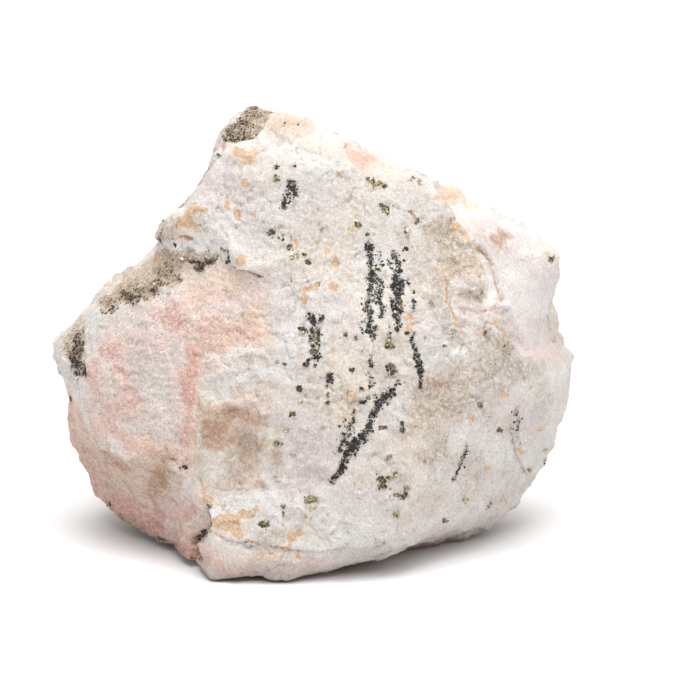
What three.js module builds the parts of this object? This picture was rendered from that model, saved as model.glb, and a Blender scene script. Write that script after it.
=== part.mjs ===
// Rhodochrosite specimen: one hand-sized lump of pink rhodochrosite with white
// quartz and black sulphide veins, broken out of its vein and standing on its
// own rough foot.
//
// The lump is a single stone, so the part is a single closed solid.
//
// Geometry, in millimetres, +Z up, the face that is normally shown looking
// along -Y:
//   * a large pale plate leans back over the whole front, standing about 2 mm
//     proud of a recessed pink face on the left;
//   * a smooth wedge-shaped face turns away at the lower left, under a crease;
//   * a pale ledge and a low strip run along the foot;
//   * a smooth shoulder leans out at the right, with a thin curled rim where it
//     meets the plate, and the face under it falls back towards the floor;
//   * the back and the underside are plain broken faces.
// The surface is star-shaped about a point inside the stone: every named point
// below is a corner of a broken face, the faces between them are flat, and a
// light fracture roughness is laid over them.

import * as THREE from 'three';
import { ConvexHull } from 'three/addons/math/ConvexHull.js';

// ---- driving dimensions (mm) -------------------------------------------------
const WIDTH = 57.2;            // overall, along X
const DEPTH = 37.0;            // overall, along Y
const HEIGHT = 47.6;           // overall, along Z
const HEART = [-0.5, 3.0, 22.0]; // point inside the stone that the faces are seen from
const MESH_DETAIL = 21;        // fineness of the even point layer between the corners
const CORNER_CLEAR = 0.034;    // radians kept free round each corner point
const BED = 0.0;               // height of the contact patches the stone rests on

// fracture roughness: [wavelength, height] of each layer
const ROUGHNESS = [[9.0, 0.42], [4.2, 0.34], [2.1, 0.20]];
const FOOT_CALM = 3.0;         // roughness fades out below this height

// broken faces that cut the back: outward direction and distance from the heart
const BACK_FACES = [
  { toward: [-0.62, 0.72, 0.30], at: 19.8 },
  { toward: [0.10, 0.98, 0.16], at: 15.0 },
  { toward: [0.55, 0.80, 0.24], at: 18.8 },
  { toward: [0.30, 0.72, 0.62], at: 19.6 },
  { toward: [-0.30, 0.74, 0.60], at: 18.6 },
  { toward: [0.34, 0.90, -0.28], at: 16.6 },
  { toward: [-0.26, 0.93, -0.25], at: 16.0 },
  { toward: [0.86, 0.50, 0.05], at: 25.4 },
  { toward: [-0.90, 0.42, -0.08], at: 25.6 },
  { toward: [0.62, 0.62, -0.48], at: 20.2 },
  { toward: [-0.60, 0.62, -0.50], at: 20.6 },
];

// ---- corner points of the broken faces (mm) ------------------------------------
const CORNERS = [
  // crest and its dark knob
  [-9.9, -1, 42.6], [-10, -0.2, 43.6], [-10, 0.6, 44.4], [-9.3, 1.6, 45.1], [-8.5, 2.4, 46], [-7.6, 3, 46.7],
  [-6.4, 3, 47.5], [-5.4, 2.6, 47.2], [-4.4, 1.6, 47], [-9.5, -1.2, 44.7], [-7.7, -1.8, 44.6],
  [-6, -1.9, 45], [-5.3, -1.2, 45.9], [-7.2, 0.6, 45.8],
  // crest, running down to the right
  [-3.3, 2, 47], [-2.3, 2.2, 46.8], [-1.2, 2.4, 46.3], [-0.1, 2.6, 45.9], [0.4, 2.4, 45.3], [0.9, 2, 44.4],
  [1.9, 1.2, 43.9], [3.3, 2, 43.4], [4.1, 3, 43.2], [4.8, 4.4, 43.1], [5.6, 5, 42.1], [6.7, 5, 41.5],
  [8, 5.8, 41.2], [8.5, 5.8, 40.7], [9.6, 5.4, 40.1], [10.6, 4.4, 39.7], [12.1, 2.2, 39.7], [12.8, 2, 39.5],
  [13.6, 3.4, 38.7], [14.2, 5, 38], [14.9, 6, 37.6], [15.7, 6.6, 37.4], [16.6, 6.8, 36.5], [17.3, 6.6, 35.9],
  [18, 5.8, 35.9], [19.1, 5.2, 35.9], [19.6, 5, 35.6], [20, 4.8, 35.1], [20.6, 4.6, 34.5], [21.5, 5, 34.3],
  [22.4, 5, 34.1], [23.2, 5.2, 33.6], [24, 5.2, 32.9], [24.9, 5, 32.3], [25.7, 4.6, 31.8], [26.4, 4, 31.3],
  // right edge
  [26.9, 3.2, 30.8], [26.9, 2.4, 29.8], [27.1, 2.2, 28.6], [26.6, 3, 27.5], [26.2, 3.8, 26.2],
  [25.9, 4.4, 25.2], [26.3, 5, 24.3], [26.7, 5.4, 23.4], [26.9, 5.6, 22.3], [27.1, 5.6, 21.1],
  [27.4, 5.6, 20.1], [28, 5.4, 19.6], [28.5, 5.2, 19.3], [28.7, 5, 18.8], [28.5, 4.6, 17.9],
  [28.5, 4.4, 16.4], [28.1, 4, 14.5], [27.8, 3.6, 12.8], [26.9, 3.4, 10.5], [26.2, 3, 8.6], [25.1, 2.8, 6.6],
  [23.9, 2.2, 4.7], [22.4, 1.4, 3.1], [20.5, 0, 1.7], [18.6, -1.4, 0.8], [16.9, -2.6, 0.1],
  // left edge
  [-10.3, -1.8, 42.1], [-10.9, -2.2, 41.7], [-11.3, -2.6, 40.9], [-11.7, -2.8, 40.2], [-12.2, -3, 39.6],
  [-13, -3, 38.4], [-13.8, -2.8, 37.6], [-14.6, -2.6, 37.2], [-15.2, -2.4, 36.7], [-15.7, -2, 35.9],
  [-16.4, -1, 35], [-16.6, -0.4, 33.8], [-16.5, 0.6, 32.7], [-16.5, 2.2, 31.7], [-16.9, 4, 30.7],
  [-17.8, 5.4, 30.1], [-18.9, 6, 29.4], [-20, 6, 28.8], [-21.1, 5.6, 28.1], [-21.9, 5.2, 27.6],
  [-22.8, 4.6, 27.1], [-23.4, 4, 26.6], [-23.8, 3.4, 26.1], [-24.2, 2.8, 25.3], [-24.6, 2.2, 24.8],
  [-25.1, 1.8, 24.3], [-25.5, 1.6, 23.8], [-25.9, 1.4, 23.4], [-26.4, 1.6, 22.9], [-26.9, 2, 22.8],
  [-27.4, 2, 22.5], [-27.8, 1.6, 21.9], [-28.4, 1, 22], [-28.5, 0.4, 21.4], [-28.3, 0, 20.3],
  [-27.7, -0.2, 18.8], [-27.2, 0.1, 17.8], [-26.8, 0.6, 16.7], [-26.5, 1.2, 15.5], [-26.4, 2, 14.5],
  // lower left edge
  [-26.7, 3.2, 13.2], [-26.9, 4, 12.1], [-26.9, 4.8, 10.5], [-26.8, 5.4, 9.2], [-26.5, 5.8, 8.2],
  [-26, 6, 7.6], [-25.7, 6.2, 6.5], [-25.1, 6.2, 5.4], [-24.7, 6, 4.4], [-24.4, 5.6, 3.6], [-24, 4.8, 2.9],
  [-23.1, 3.2, 2.5], [-22.1, 1.4, 2.2], [-21, 0, 1.8], [-19.9, -1.6, 1.8], [-19, -2.8, 1.6],
  [-18, -4.2, 1.3], [-17.1, -5, 1.2], [-16.2, -6, 1.2], [-15.4, -7.2, 1.2], [-14.7, -8.6, 1.1],
  [-14.3, -10.8, 0.9], [-13.2, -12.2, 1], [-12.1, -13.6, 1.3],
  // foot
  [-11.6, -15.2, 1.2], [-11.2, -16.6, 0.8], [-10.5, -17.2, 0.4], [-8.9, -17.3, 0.3], [-7.3, -17.2, 0.6],
  [-5.8, -16.8, 0.7], [-5.3, -16, 0.7], [-4.4, -17.1, 0.4], [-2.5, -17.3, 0.4], [-0.7, -16.4, 0.7],
  [1.4, -16, 1], [3.9, -15.4, 1.4], [5.8, -14.9, 1.9], [8.3, -14.2, 2], [9.7, -13.2, 2.4], [11.4, -12, 2.8],
  [12.7, -10.6, 3.2], [13.4, -10, 3.5], [14.8, -9.4, 3.8], [16.2, -8, 4.1],
  // front plate
  [-9.6, -2.6, 43.1], [-7.7, -3.2, 44.1], [-5.3, -2.6, 45], [-4, -1, 45.8], [-4.3, 0.2, 46.9],
  [-2.1, 0.6, 45.6], [-0.7, 0.9, 45.4], [-2.8, -1.6, 44.5], [-0.7, -1.2, 44], [1.1, -0.6, 43.7],
  [3, -0.9, 43.2], [3.6, -1.4, 42.6], [5.3, -1, 42], [6.8, -0.6, 41.1], [8.6, -0.4, 40.4],
  [10.3, -0.6, 39.8], [12.1, -0.4, 39.3], [13.3, -0.8, 38.5], [-10.3, -4.4, 41.1], [-7.6, -5.4, 41.7],
  [-11.4, -5, 39.2], [-13, -4.8, 37.5], [-14.5, -4.2, 36.3], [-15.2, -3.2, 34.8], [-14.9, -3.2, 33.8],
  [-13.1, -4.9, 34.7], [-11.3, -6.4, 36.8], [-5.3, -6.8, 39.8], [-1.2, -4.8, 41], [1.9, -4.6, 40.4],
  [5.7, -4.4, 39.3], [9.4, -3.8, 38], [12.1, -3.2, 37.1], [14, -2.6, 37], [-8.7, -7.4, 37.8],
  [-9.5, -8, 35.2], [-11.2, -6.4, 34.5], [-6.5, -9, 35.5], [-2.8, -8.8, 37], [0.9, -7.4, 37.2],
  [4.6, -7.2, 36.1], [8.3, -6.2, 35.3], [11.5, -5.2, 34.8], [14.8, -3.6, 34.7], [-8.4, -9.6, 34.3],
  [-6.8, -10.6, 33], [-4.6, -11, 33.1], [-2.3, -10.8, 33.7], [0.9, -10, 33.3], [4.1, -9.6, 32.9],
  [7.8, -9, 32.2], [11, -7.6, 32.1], [13.7, -6.2, 32.4], [16.4, -4.6, 32.7], [17.8, -5.2, 31.2],
  [16.1, -3, 35.3], [16.9, -3.8, 33.9], [-1.2, -12.4, 29.8], [2.5, -12, 29.7], [5.7, -11.6, 29],
  [9.4, -10.8, 28.8], [12.6, -9.2, 29], [14.5, -8.2, 29.8], [16, -7.4, 28.5], [17.6, -6.6, 29.2],
  [18.1, -6, 30.3], [-2.2, -13.6, 25.7], [0.9, -13.8, 25.2], [4.6, -13.2, 25.1], [8.3, -12.8, 25],
  [11.5, -11.4, 25.1], [14.2, -9.8, 26.4], [16.8, -8.8, 26.4], [19.2, -7.6, 26.6], [-2.8, -14.6, 21.1],
  [0.4, -15, 21.2], [4.1, -14.8, 21.1], [7.8, -14.2, 21], [10.9, -12.8, 21.1], [13.6, -11.2, 22.7],
  [16.6, -9.8, 23.4], [20.1, -8.2, 23.8], [21.7, -6.4, 21.4], [-1.2, -15.7, 17], [2.5, -16, 17.1],
  [6.2, -15.8, 17.1], [9.9, -14.2, 17.1], [12.6, -12.2, 18.2], [15.2, -11, 20.1], [17.9, -9.4, 21.1],
  [12, -13.6, 15.3], [-2.3, -16, 12.7], [0.9, -16.6, 12.9], [4.6, -16.6, 13.4], [8.3, -15.6, 13.7],
  [11.5, -14.2, 12.7], [-3.9, -16.2, 9.8], [-0.7, -16.9, 9.7], [2.5, -17.4, 9.3], [6.2, -17, 9.7],
  [9.3, -15.9, 9.9], [12, -14, 9.4],
  // stained hollows at the lower left of the plate
  [-12.1, -12.2, 18.2], [-10.2, -13.4, 17.8], [-10.6, -12.9, 15.4], [-8.1, -13.9, 16.5], [-6.7, -13.6, 14.2],
  [-8.4, -14.6, 13.1], [-11.3, -13.6, 13.1], [-5.2, -14.6, 15.1], [-5.2, -15, 11.9], [-7.6, -14.8, 10.5],
  [-10.2, -14.6, 10.7], [-5.9, -14.2, 18.2],
  // lower ledge and strip
  [-11, -15.2, 8.3], [-8.9, -15.4, 8.3], [-6, -16, 8], [-2.8, -16.8, 7.5], [0.4, -17.3, 6.8],
  [3.5, -17.4, 6.5], [7.2, -16.8, 6.9], [10.4, -15.2, 7], [12.6, -13, 6.6], [-10.5, -16.6, 5.7],
  [-8.4, -17.5, 4.9], [-5.2, -18, 4.5], [-2.3, -18.2, 4], [1.4, -17.8, 3.7], [4.6, -17.2, 4.1],
  [7.8, -16.3, 4.2], [10.4, -14.6, 4.3], [12.3, -12.4, 4.8], [-10.5, -17.2, 2.9], [-7.6, -17.8, 2.6],
  [-3.9, -18.1, 2.2], [-0.7, -17.6, 2.4],
  // pink face
  [-9.3, -7.8, 32.8], [-11.9, -6.8, 31.3], [-13.7, -6.2, 30.2], [-16.2, -5.2, 28.7], [-18.8, -4.2, 27],
  [-20.9, -3.2, 26], [-22.8, -2.2, 24.8], [-24, -2, 23.3], [-24.2, -3, 21.6], [-24.4, -4, 19.2],
  [-25.3, -3, 17.1], [-25.2, -2.4, 15.1], [-10.2, -8.8, 30.5], [-7, -10, 30.8], [-4.2, -11, 30.5],
  [-14.1, -7.2, 27.9], [-17.3, -6.4, 25.5], [-21.1, -5.2, 22.9], [-11.3, -10, 27], [-7.6, -11.2, 27.3],
  [-4.4, -12.2, 27], [-15.1, -8.8, 23.4], [-18.4, -7.6, 21.9], [-21.7, -6, 19.8], [-11.3, -11.2, 23.4],
  [-8.1, -12.4, 23.2], [-5.2, -13, 23.6], [-12.9, -11, 20.1], [-16.2, -9.4, 19.1], [-19.5, -7.8, 18.1],
  [-22.3, -5.8, 16.4], [-9.2, -13, 20.6], [-6, -13.8, 20.9], [-14, -11.2, 16.8], [-16.7, -9.8, 15.9],
  [-19.7, -8, 14.8], [-22.3, -5.6, 13.8], [-12.9, -12.6, 14.5],
  // bevel above the pink face, with the dark grains
  [-11.9, -5.9, 33.6], [-14.1, -3.9, 33.1], [-15.5, -1.8, 32.4], [-13, -5.4, 32.2], [-15, -4, 30.9],
  [-17.3, -1.2, 30], [-18.6, -1.6, 28.8], [-20.2, -1.6, 27.9], [-21.9, -0.6, 26.8], [-23, -0.4, 25.8],
  [-16.8, -3.6, 29.3], [-19.2, -3, 27.6],
  // left corner, with dark grains
  [-26, -0.6, 22.7], [-27, -0.8, 21.8], [-27.3, -1.2, 20.4], [-26, -2, 21], [-24.9, -1.4, 21.9],
  [-26.2, -2.2, 19.1], [-25.2, 0, 23.2], [-26.9, -1.4, 18.9],
  // crease under the pink face
  [-25.6, -1.2, 14.1], [-24.7, -2.2, 13.3], [-23.5, -3.6, 12.4], [-22.6, -5, 11.7], [-21.6, -6.6, 11.2],
  [-20.2, -8, 10.9], [-18.4, -9.2, 10.7], [-16.5, -10.2, 10.6], [-14.6, -11.4, 10.6], [-13.2, -12.6, 10.3],
  [-12.3, -13.8, 9.1], [-11.5, -14.8, 7.6], [-11.2, -15.4, 6.2],
  // lower left face
  [-25.3, 2.2, 10.2], [-24.2, 1.2, 8.8], [-23.3, 1.4, 6.5], [-22.9, 1.4, 4.5], [-21.8, -2, 8],
  [-20.4, -3.4, 7.3], [-21.3, -0.4, 4.1], [-19.3, -2.6, 4.2], [-18.1, -6, 7.5], [-17.6, -4.6, 4.3],
  [-15.8, -8.6, 8.3], [-16.5, -5.4, 2.8], [-15.3, -7.8, 5.8], [-13.6, -11, 7.9], [-14.2, -9.2, 4.5],
  [-12.8, -12, 6], [-14.5, -8.6, 2.3], [-13.1, -11.4, 3.5], [-12.8, -12, 2.2], [-11.8, -13.4, 3.6],
  [-11.6, -14.6, 2.6],
  // right shoulder
  [14.8, 1.4, 36.8], [16, 4.6, 36.6], [15, -1.6, 36], [16.8, 1.6, 35.8], [18.7, 3.4, 35.5],
  [16.9, -1.4, 35.2], [19.2, 1.6, 34.7], [21.4, 2.4, 33.6], [23.6, 2.6, 32.3], [17.8, -2.4, 33.9],
  [20.2, -0.4, 33.4], [25.2, 1.8, 31.2], [22.4, 0.4, 31.5], [18.4, -3, 32.2], [19.3, -3.8, 30.7],
  [18.6, -4, 31.2], [18.8, -5, 29.5], [19.7, -4.2, 29], [19.5, -5, 27.6], [18.6, -6, 27.8],
  [21.3, -1.8, 30.2], [24.1, 0.2, 29.3], [25.7, 1.4, 29.6], [21.8, -3, 27.9], [24.6, 0.4, 26.5],
  [20.7, -5.2, 26.6], [22.9, -3, 25.4], [25.2, 1.4, 24], [22.3, -4.6, 23.9], [24.6, -1, 22.4],
  [26.1, 2.6, 22], [23.4, -4, 21.9], [25.2, -1, 20.7], [27, 2.6, 19.6],
  // right face below the shoulder
  [20.1, -8.4, 20.8], [22.9, -5.6, 20.3], [25.1, -2.6, 19.2], [26.9, 1, 17.8], [16.8, -10.8, 18.4],
  [20.1, -8.2, 17.7], [23.4, -5, 17.3], [26, -0.6, 15.5], [14.7, -11.8, 15.9], [17.9, -9.8, 14.8],
  [21.2, -6.8, 14.5], [24.4, -2.6, 13.3], [14.2, -12, 12.1], [16.9, -9.8, 11.2], [20.2, -6.4, 11],
  [23.1, -3, 10], [13.1, -12.6, 8.4], [15.8, -10.2, 8.2], [18.6, -7, 7.5], [21.2, -3.6, 6.8],
  [13.7, -11.4, 5.8], [15.3, -10, 5.7], [17.6, -7, 4.8],
  // back, upper
  [-8.5, 6.9, 43.9], [-4, 7.2, 45.1], [-10.4, 8.1, 39], [2.7, 8.7, 41.3], [-12.2, 6.8, 36.5],
  [8.1, 9.8, 39.2], [12.4, 10.4, 36.9], [16.4, 10, 34.9], [-6, 11.5, 41], [1.5, 13, 39.4], [8, 14.5, 37],
  [15, 14, 34.5], [21.4, 9.2, 32.6], [-13.6, 10.5, 34],
  // back, middle
  [-16.2, 11.5, 29.6], [-10, 15, 34], [-1, 16.4, 33.5], [7, 17.4, 31], [15.5, 16.4, 28.5],
  [22.6, 12.6, 27.5], [25.9, 9, 26], [-21.2, 9.2, 26.3], [-16.4, 15.4, 25], [-7, 17.8, 26.6],
  [3, 18.4, 25.4], [12, 18.2, 21.6], [20.4, 15.2, 19.6], [26.6, 9, 19.5], [-25.9, 5.5, 21.5],
  [-22, 12, 19.4],
  // back, lower
  [-13.5, 17, 17], [-4, 18.5, 16.4], [6, 18.6, 13.4], [16, 16.6, 11.2], [23.6, 11.2, 12], [-20.6, 13, 12],
  [-11, 16.2, 8.6], [-1, 17.6, 6.4], [9, 17, 4.6], [17.6, 13.4, 4.4], [22.6, 8, 7], [-18.4, 11.6, 6.4],
  [-12, 14.2, 4.2], [-5, 16, 3.2], [3, 16.6, 2.6], [11, 15, 2.8],
  // underside
  [-22, 9.4, 5], [-20.4, 4.4, 4.2], [-17.4, 8.4, 1.2], [-13.4, 9.6, -0.2], [-7, 12.2, -0.4], [0, 13.4, -0.5],
  [7, 12.6, -0.5], [13.4, 10.4, -0.3], [17.6, 6.4, 1.2], [-14.6, 3.6, 0.7], [-9, 6.6, -0.5], [-2, 8, -0.5],
  [5, 8, -0.4], [10.4, 4.4, -0.5], [14.6, 1.6, -0.3], [15.6, -2.6, 0.3], [-11.4, -1.6, 0.8], [-5, 1, 0.5],
  [2, 1.6, 0.4], [8, -1, -0.2], [11.4, -4.4, -0.3], [-10, -6.4, 0.9], [-5.4, -5, 1.1], [1, -5, 1.1],
  [6, -6.4, 0.9], [-9.4, -11.2, 0.5], [-5, -10, 0.5], [0, -10.4, 0.7], [5.4, -10.6, 0.8],
  [-10.6, -15.2, -0.4], [-6, -14.4, -0.5], [-2.4, -14.6, -0.3], [2.4, -13.6, 0.4], [8.6, -9.4, 1.6],
];

// ---- small helpers -------------------------------------------------------------
function hash3(i, j, k, salt) {
  let h = Math.imul(i, 374761393) ^ Math.imul(j, 668265263) ^ Math.imul(k, 2147483647) ^ Math.imul(salt, 1274126177);
  h = Math.imul(h ^ (h >>> 13), 1103515245);
  h = Math.imul(h ^ (h >>> 15), 461845907);
  return ((h ^ (h >>> 16)) >>> 0) / 4294967295;
}

function noise3(x, y, z, salt) {
  const i = Math.floor(x), j = Math.floor(y), k = Math.floor(z);
  const s = (t) => t * t * t * (t * (t * 6 - 15) + 10);
  const u = s(x - i), v = s(y - j), w = s(z - k);
  const c = (a, b, d) => hash3(i + a, j + b, k + d, salt);
  const mix = (a, b, t) => a + (b - a) * t;
  return 2 * mix(
    mix(mix(c(0, 0, 0), c(1, 0, 0), u), mix(c(0, 1, 0), c(1, 1, 0), u), v),
    mix(mix(c(0, 0, 1), c(1, 0, 1), u), mix(c(0, 1, 1), c(1, 1, 1), u), v), w) - 1;
}

// blocky roughness: gentle slopes with small steps, as on a granular fracture
function fracture(p) {
  let h = 0;
  ROUGHNESS.forEach(([wave, high], n) => {
    const a = noise3(p.x / wave, p.y / wave, p.z / wave, 11 + n);
    const b = 1 - 2 * Math.abs(noise3(p.x / wave + 7.3, p.y / wave - 3.1, p.z / wave + 5.7, 31 + n));
    h += high * (0.65 * a + 0.35 * b);
  });
  return h;
}

// ---- the stone -------------------------------------------------------------------
const heart = new THREE.Vector3(...HEART);
const corners = CORNERS.map((c) => new THREE.Vector3(...c));
const cornerDirs = corners.map((c) => c.clone().sub(heart).normalize());

// flat faces between neighbouring corners, found on the sphere of directions
function facesBetween(dirs) {
  const tagged = dirs.map((d, i) => { const q = d.clone(); q.tag = i; return q; });
  const hull = new ConvexHull().setFromPoints(tagged);
  return hull.faces.map((f) => {
    const ids = [];
    let e = f.edge;
    do { ids.push(e.head().point.tag); e = e.next; } while (e !== f.edge);
    return ids;
  });
}

const plates = facesBetween(cornerDirs).map(([a, b, c]) => {
  const A = corners[a], B = corners[b], C = corners[c];
  const n = new THREE.Vector3().subVectors(B, A).cross(new THREE.Vector3().subVectors(C, A));
  return {
    n, off: n.dot(new THREE.Vector3().subVectors(A, heart)),
    sides: [[a, b], [b, c], [c, a]].map(([p, q]) => new THREE.Vector3().crossVectors(cornerDirs[p], cornerDirs[q])),
  };
});

function reach(dir) {
  let best = null, bestIn = -Infinity;
  for (const p of plates) {
    const inside = Math.min(p.sides[0].dot(dir), p.sides[1].dot(dir), p.sides[2].dot(dir));
    if (inside > bestIn) { bestIn = inside; best = p; }
    if (inside > 1e-9) break;
  }
  return best.off / best.n.dot(dir);
}

const backFaces = BACK_FACES.map((f) => ({ n: new THREE.Vector3(...f.toward).normalize(), at: f.at }));

// the even layer of directions between the corners, slightly irregular
const even = [];
{
  const seen = new Set();
  const g = new THREE.IcosahedronGeometry(1, MESH_DETAIL).attributes.position;
  for (let i = 0; i < g.count; i++) {
    const d = new THREE.Vector3().fromBufferAttribute(g, i);
    const key = `${Math.round(d.x * 1e4)},${Math.round(d.y * 1e4)},${Math.round(d.z * 1e4)}`;
    if (seen.has(key)) continue;
    seen.add(key);
    const n = even.length;
    d.x += 0.012 * (hash3(n, 1, 2, 5) - 0.5);
    d.y += 0.012 * (hash3(n, 3, 4, 6) - 0.5);
    d.z += 0.012 * (hash3(n, 5, 6, 7) - 0.5);
    d.normalize();
    if (cornerDirs.every((c) => c.dot(d) < Math.cos(CORNER_CLEAR))) even.push(d);
  }
}

const dirs = cornerDirs.concat(even);
const points = dirs.map((d, i) => {
  let r = i < corners.length ? corners[i].distanceTo(heart) : reach(d);
  let cut = r;
  for (const f of backFaces) {
    const c = f.n.dot(d);
    if (c > 0.2) cut = Math.min(cut, f.at / c);
  }
  r += (cut - r) * THREE.MathUtils.smoothstep(d.y, 0.12, 0.55);
  const p = heart.clone().addScaledVector(d, r);
  const calm = THREE.MathUtils.smoothstep(p.z, 0, FOOT_CALM);
  const back = THREE.MathUtils.smoothstep(d.y, 0.1, 0.5);
  const corner = i < corners.length ? 0.4 : 1;
  r += fracture(p) * (0.35 + 0.65 * calm) * (0.55 + 0.75 * back) * corner;
  p.copy(heart).addScaledVector(d, r);
  if (p.z < BED) p.addScaledVector(d, (BED - p.z) / d.z), (p.z = BED);
  return p;
});

// bring the stone to its overall size, standing on z = 0 over the origin
const box = new THREE.Box3().setFromPoints(points);
const size = box.getSize(new THREE.Vector3());
const mid = box.getCenter(new THREE.Vector3());
for (const p of points) {
  p.set((p.x - mid.x) * WIDTH / size.x, (p.y - mid.y) * DEPTH / size.y, (p.z - box.min.z) * HEIGHT / size.z);
}

const position = new Float32Array(points.length * 3);
points.forEach((p, i) => p.toArray(position, i * 3));
const geometry = new THREE.BufferGeometry();
geometry.setAttribute('position', new THREE.BufferAttribute(position, 3));
geometry.setIndex(facesBetween(dirs).flat());
geometry.computeVertexNormals();

const stone = new THREE.Mesh(geometry, new THREE.MeshStandardMaterial({ color: 0xe3cdc3, roughness: 0.8 }));
stone.name = 'rhodochrosite_rock';

const specimen = new THREE.Group();
specimen.name = 'rhodochrosite_specimen';
specimen.add(stone);

export default specimen;
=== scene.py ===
# Rhodochrosite specimen: the looks of one broken lump of ore.
# The rock is the CAD solid's own surface, refined and roughened here, with its
# mineral zones laid out as soft shapes in the plane of the camera and as bands
# through the stone elsewhere; some of these zones, and a darkening of the hollows
# and of the foot, are painted shade and light. Everything is procedural and seeded.
import math
import bpy
import numpy as np
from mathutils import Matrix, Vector
from mathutils.bvhtree import BVHTree
from mathutils.kdtree import KDTree


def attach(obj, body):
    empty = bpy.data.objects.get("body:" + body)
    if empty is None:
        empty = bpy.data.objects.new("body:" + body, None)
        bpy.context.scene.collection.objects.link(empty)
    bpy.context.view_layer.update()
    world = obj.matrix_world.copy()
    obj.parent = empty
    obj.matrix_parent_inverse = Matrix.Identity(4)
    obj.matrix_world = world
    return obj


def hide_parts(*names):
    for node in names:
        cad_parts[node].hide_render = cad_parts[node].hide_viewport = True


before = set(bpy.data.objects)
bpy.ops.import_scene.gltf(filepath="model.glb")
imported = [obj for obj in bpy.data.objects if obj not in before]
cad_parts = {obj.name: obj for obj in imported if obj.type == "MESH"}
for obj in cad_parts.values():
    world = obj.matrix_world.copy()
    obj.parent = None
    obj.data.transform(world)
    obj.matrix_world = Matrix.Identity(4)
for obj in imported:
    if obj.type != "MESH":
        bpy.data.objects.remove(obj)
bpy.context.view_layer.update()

NODE = "rhodochrosite_rock"
MM = 0.001

# ------------------------------------------------------------------ camera ----
ELEVATION = math.radians(15.0)
DISTANCE = 500.0                      # mm from the aim point
AIM = np.array([3.943, -0.36, 21.0])  # mm
FORWARD = np.array([0.0, math.cos(ELEVATION), -math.sin(ELEVATION)])
UPWARD = np.array([0.0, math.sin(ELEVATION), math.cos(ELEVATION)])
EYE = AIM - DISTANCE * FORWARD

cam_data = bpy.data.cameras.new("camera")
cam_data.sensor_width = 36.0
cam_data.lens = 237.09
cam_data.clip_start = 0.01
cam_data.clip_end = 20.0
camera = bpy.data.objects.new("camera", cam_data)
camera.location = Vector(EYE * MM)
camera.rotation_euler = (math.pi / 2 - ELEVATION, 0.0, 0.0)
bpy.context.scene.collection.objects.link(camera)
bpy.context.scene.camera = camera

# ------------------------------------------------------------- noise, seeded ----
GRADS = np.array([[1, 1, 0], [-1, 1, 0], [1, -1, 0], [-1, -1, 0], [1, 0, 1], [-1, 0, 1], [1, 0, -1], [-1, 0, -1],
                  [0, 1, 1], [0, -1, 1], [0, 1, -1], [0, -1, -1], [1, 1, 0], [-1, 1, 0], [0, -1, 1], [0, -1, -1]], float)


def hashed(i, j, k, seed):
    h = (i.astype(np.uint64) * np.uint64(73856093)) ^ (j.astype(np.uint64) * np.uint64(19349663)) ^ \
        (k.astype(np.uint64) * np.uint64(83492791)) ^ np.uint64(seed * 2654435761 % (1 << 32))
    h &= np.uint64(0xFFFFFFFF)
    h ^= h >> np.uint64(15)
    h = (h * np.uint64(2246822519)) & np.uint64(0xFFFFFFFF)
    h ^= h >> np.uint64(13)
    h = (h * np.uint64(3266489917)) & np.uint64(0xFFFFFFFF)
    return h ^ (h >> np.uint64(16))


def noise(p, wave, seed):
    """Gradient noise, about -1 to 1, at points p in mm."""
    q = p / wave + 517.3
    c = np.floor(q)
    f = q - c
    c = c.astype(np.int64)
    w = f * f * f * (f * (f * 6 - 15) + 10)
    out = np.zeros(len(p))
    for dx in (0, 1):
        for dy in (0, 1):
            for dz in (0, 1):
                g = GRADS[(hashed(c[:, 0] + dx, c[:, 1] + dy, c[:, 2] + dz, seed) & np.uint64(15)).astype(int)]
                d = f - np.array([dx, dy, dz])
                ww = (w[:, 0] if dx else 1 - w[:, 0]) * (w[:, 1] if dy else 1 - w[:, 1]) * (w[:, 2] if dz else 1 - w[:, 2])
                out += ww * (g * d).sum(1)
    return out * 1.15


def fbm(p, wave, seed, octaves=4, gain=0.5):
    out, amp = np.zeros(len(p)), 1.0
    for o in range(octaves):
        out += amp * noise(p, wave / 2 ** o, seed + 17 * o)
        amp *= gain
    return out


def ridged(p, wave, seed, octaves=4, gain=0.5):
    out, amp = np.zeros(len(p)), 1.0
    for o in range(octaves):
        out += amp * (1 - 2.4 * np.abs(noise(p, wave / 2 ** o, seed + 13 * o)))
        amp *= gain
    return out


def cells(p, wave, seed):
    """Distance to the nearest and second nearest scattered point, that cell's two random numbers and the way to its point."""
    q = p / wave + 311.7
    c = np.floor(q).astype(np.int64)
    f1 = np.full(len(p), 9.0)
    f2 = np.full(len(p), 9.0)
    own, turn = np.zeros(len(p)), np.zeros(len(p))
    away = np.zeros((len(p), 3))
    for dx in (-1, 0, 1):
        for dy in (-1, 0, 1):
            for dz in (-1, 0, 1):
                h = hashed(c[:, 0] + dx, c[:, 1] + dy, c[:, 2] + dz, seed)
                jit = np.stack([(h & np.uint64(1023)), (h >> np.uint64(10)) & np.uint64(1023), (h >> np.uint64(20)) & np.uint64(1023)], 1) / 1023.0
                to = q - (c + np.array([dx, dy, dz]) + jit)
                d = np.linalg.norm(to, axis=1)
                near = d < f1
                f2 = np.where(near, f1, np.minimum(f2, d))
                own = np.where(near, ((h >> np.uint64(7)) & np.uint64(255)) / 255.0, own)
                turn = np.where(near, ((h >> np.uint64(17)) & np.uint64(255)) / 255.0, turn)
                away = np.where(near[:, None], to, away)
                f1 = np.where(near, d, f1)
    return f1, f2, own, turn, away


def facets(p, wave, seed, slope=0.12, jump=0.5):
    """Small broken faces: each scattered cell is a plane with its own tilt and height, in mm."""
    f1, f2, own, turn, away = cells(p, wave, seed)
    a = 2 * math.pi * turn
    tilt = np.stack([np.cos(a), np.sin(a), 2 * own - 1], 1)
    return wave * slope * ((tilt * away).sum(1) * 1.2 + jump * (own - 0.5))


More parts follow.
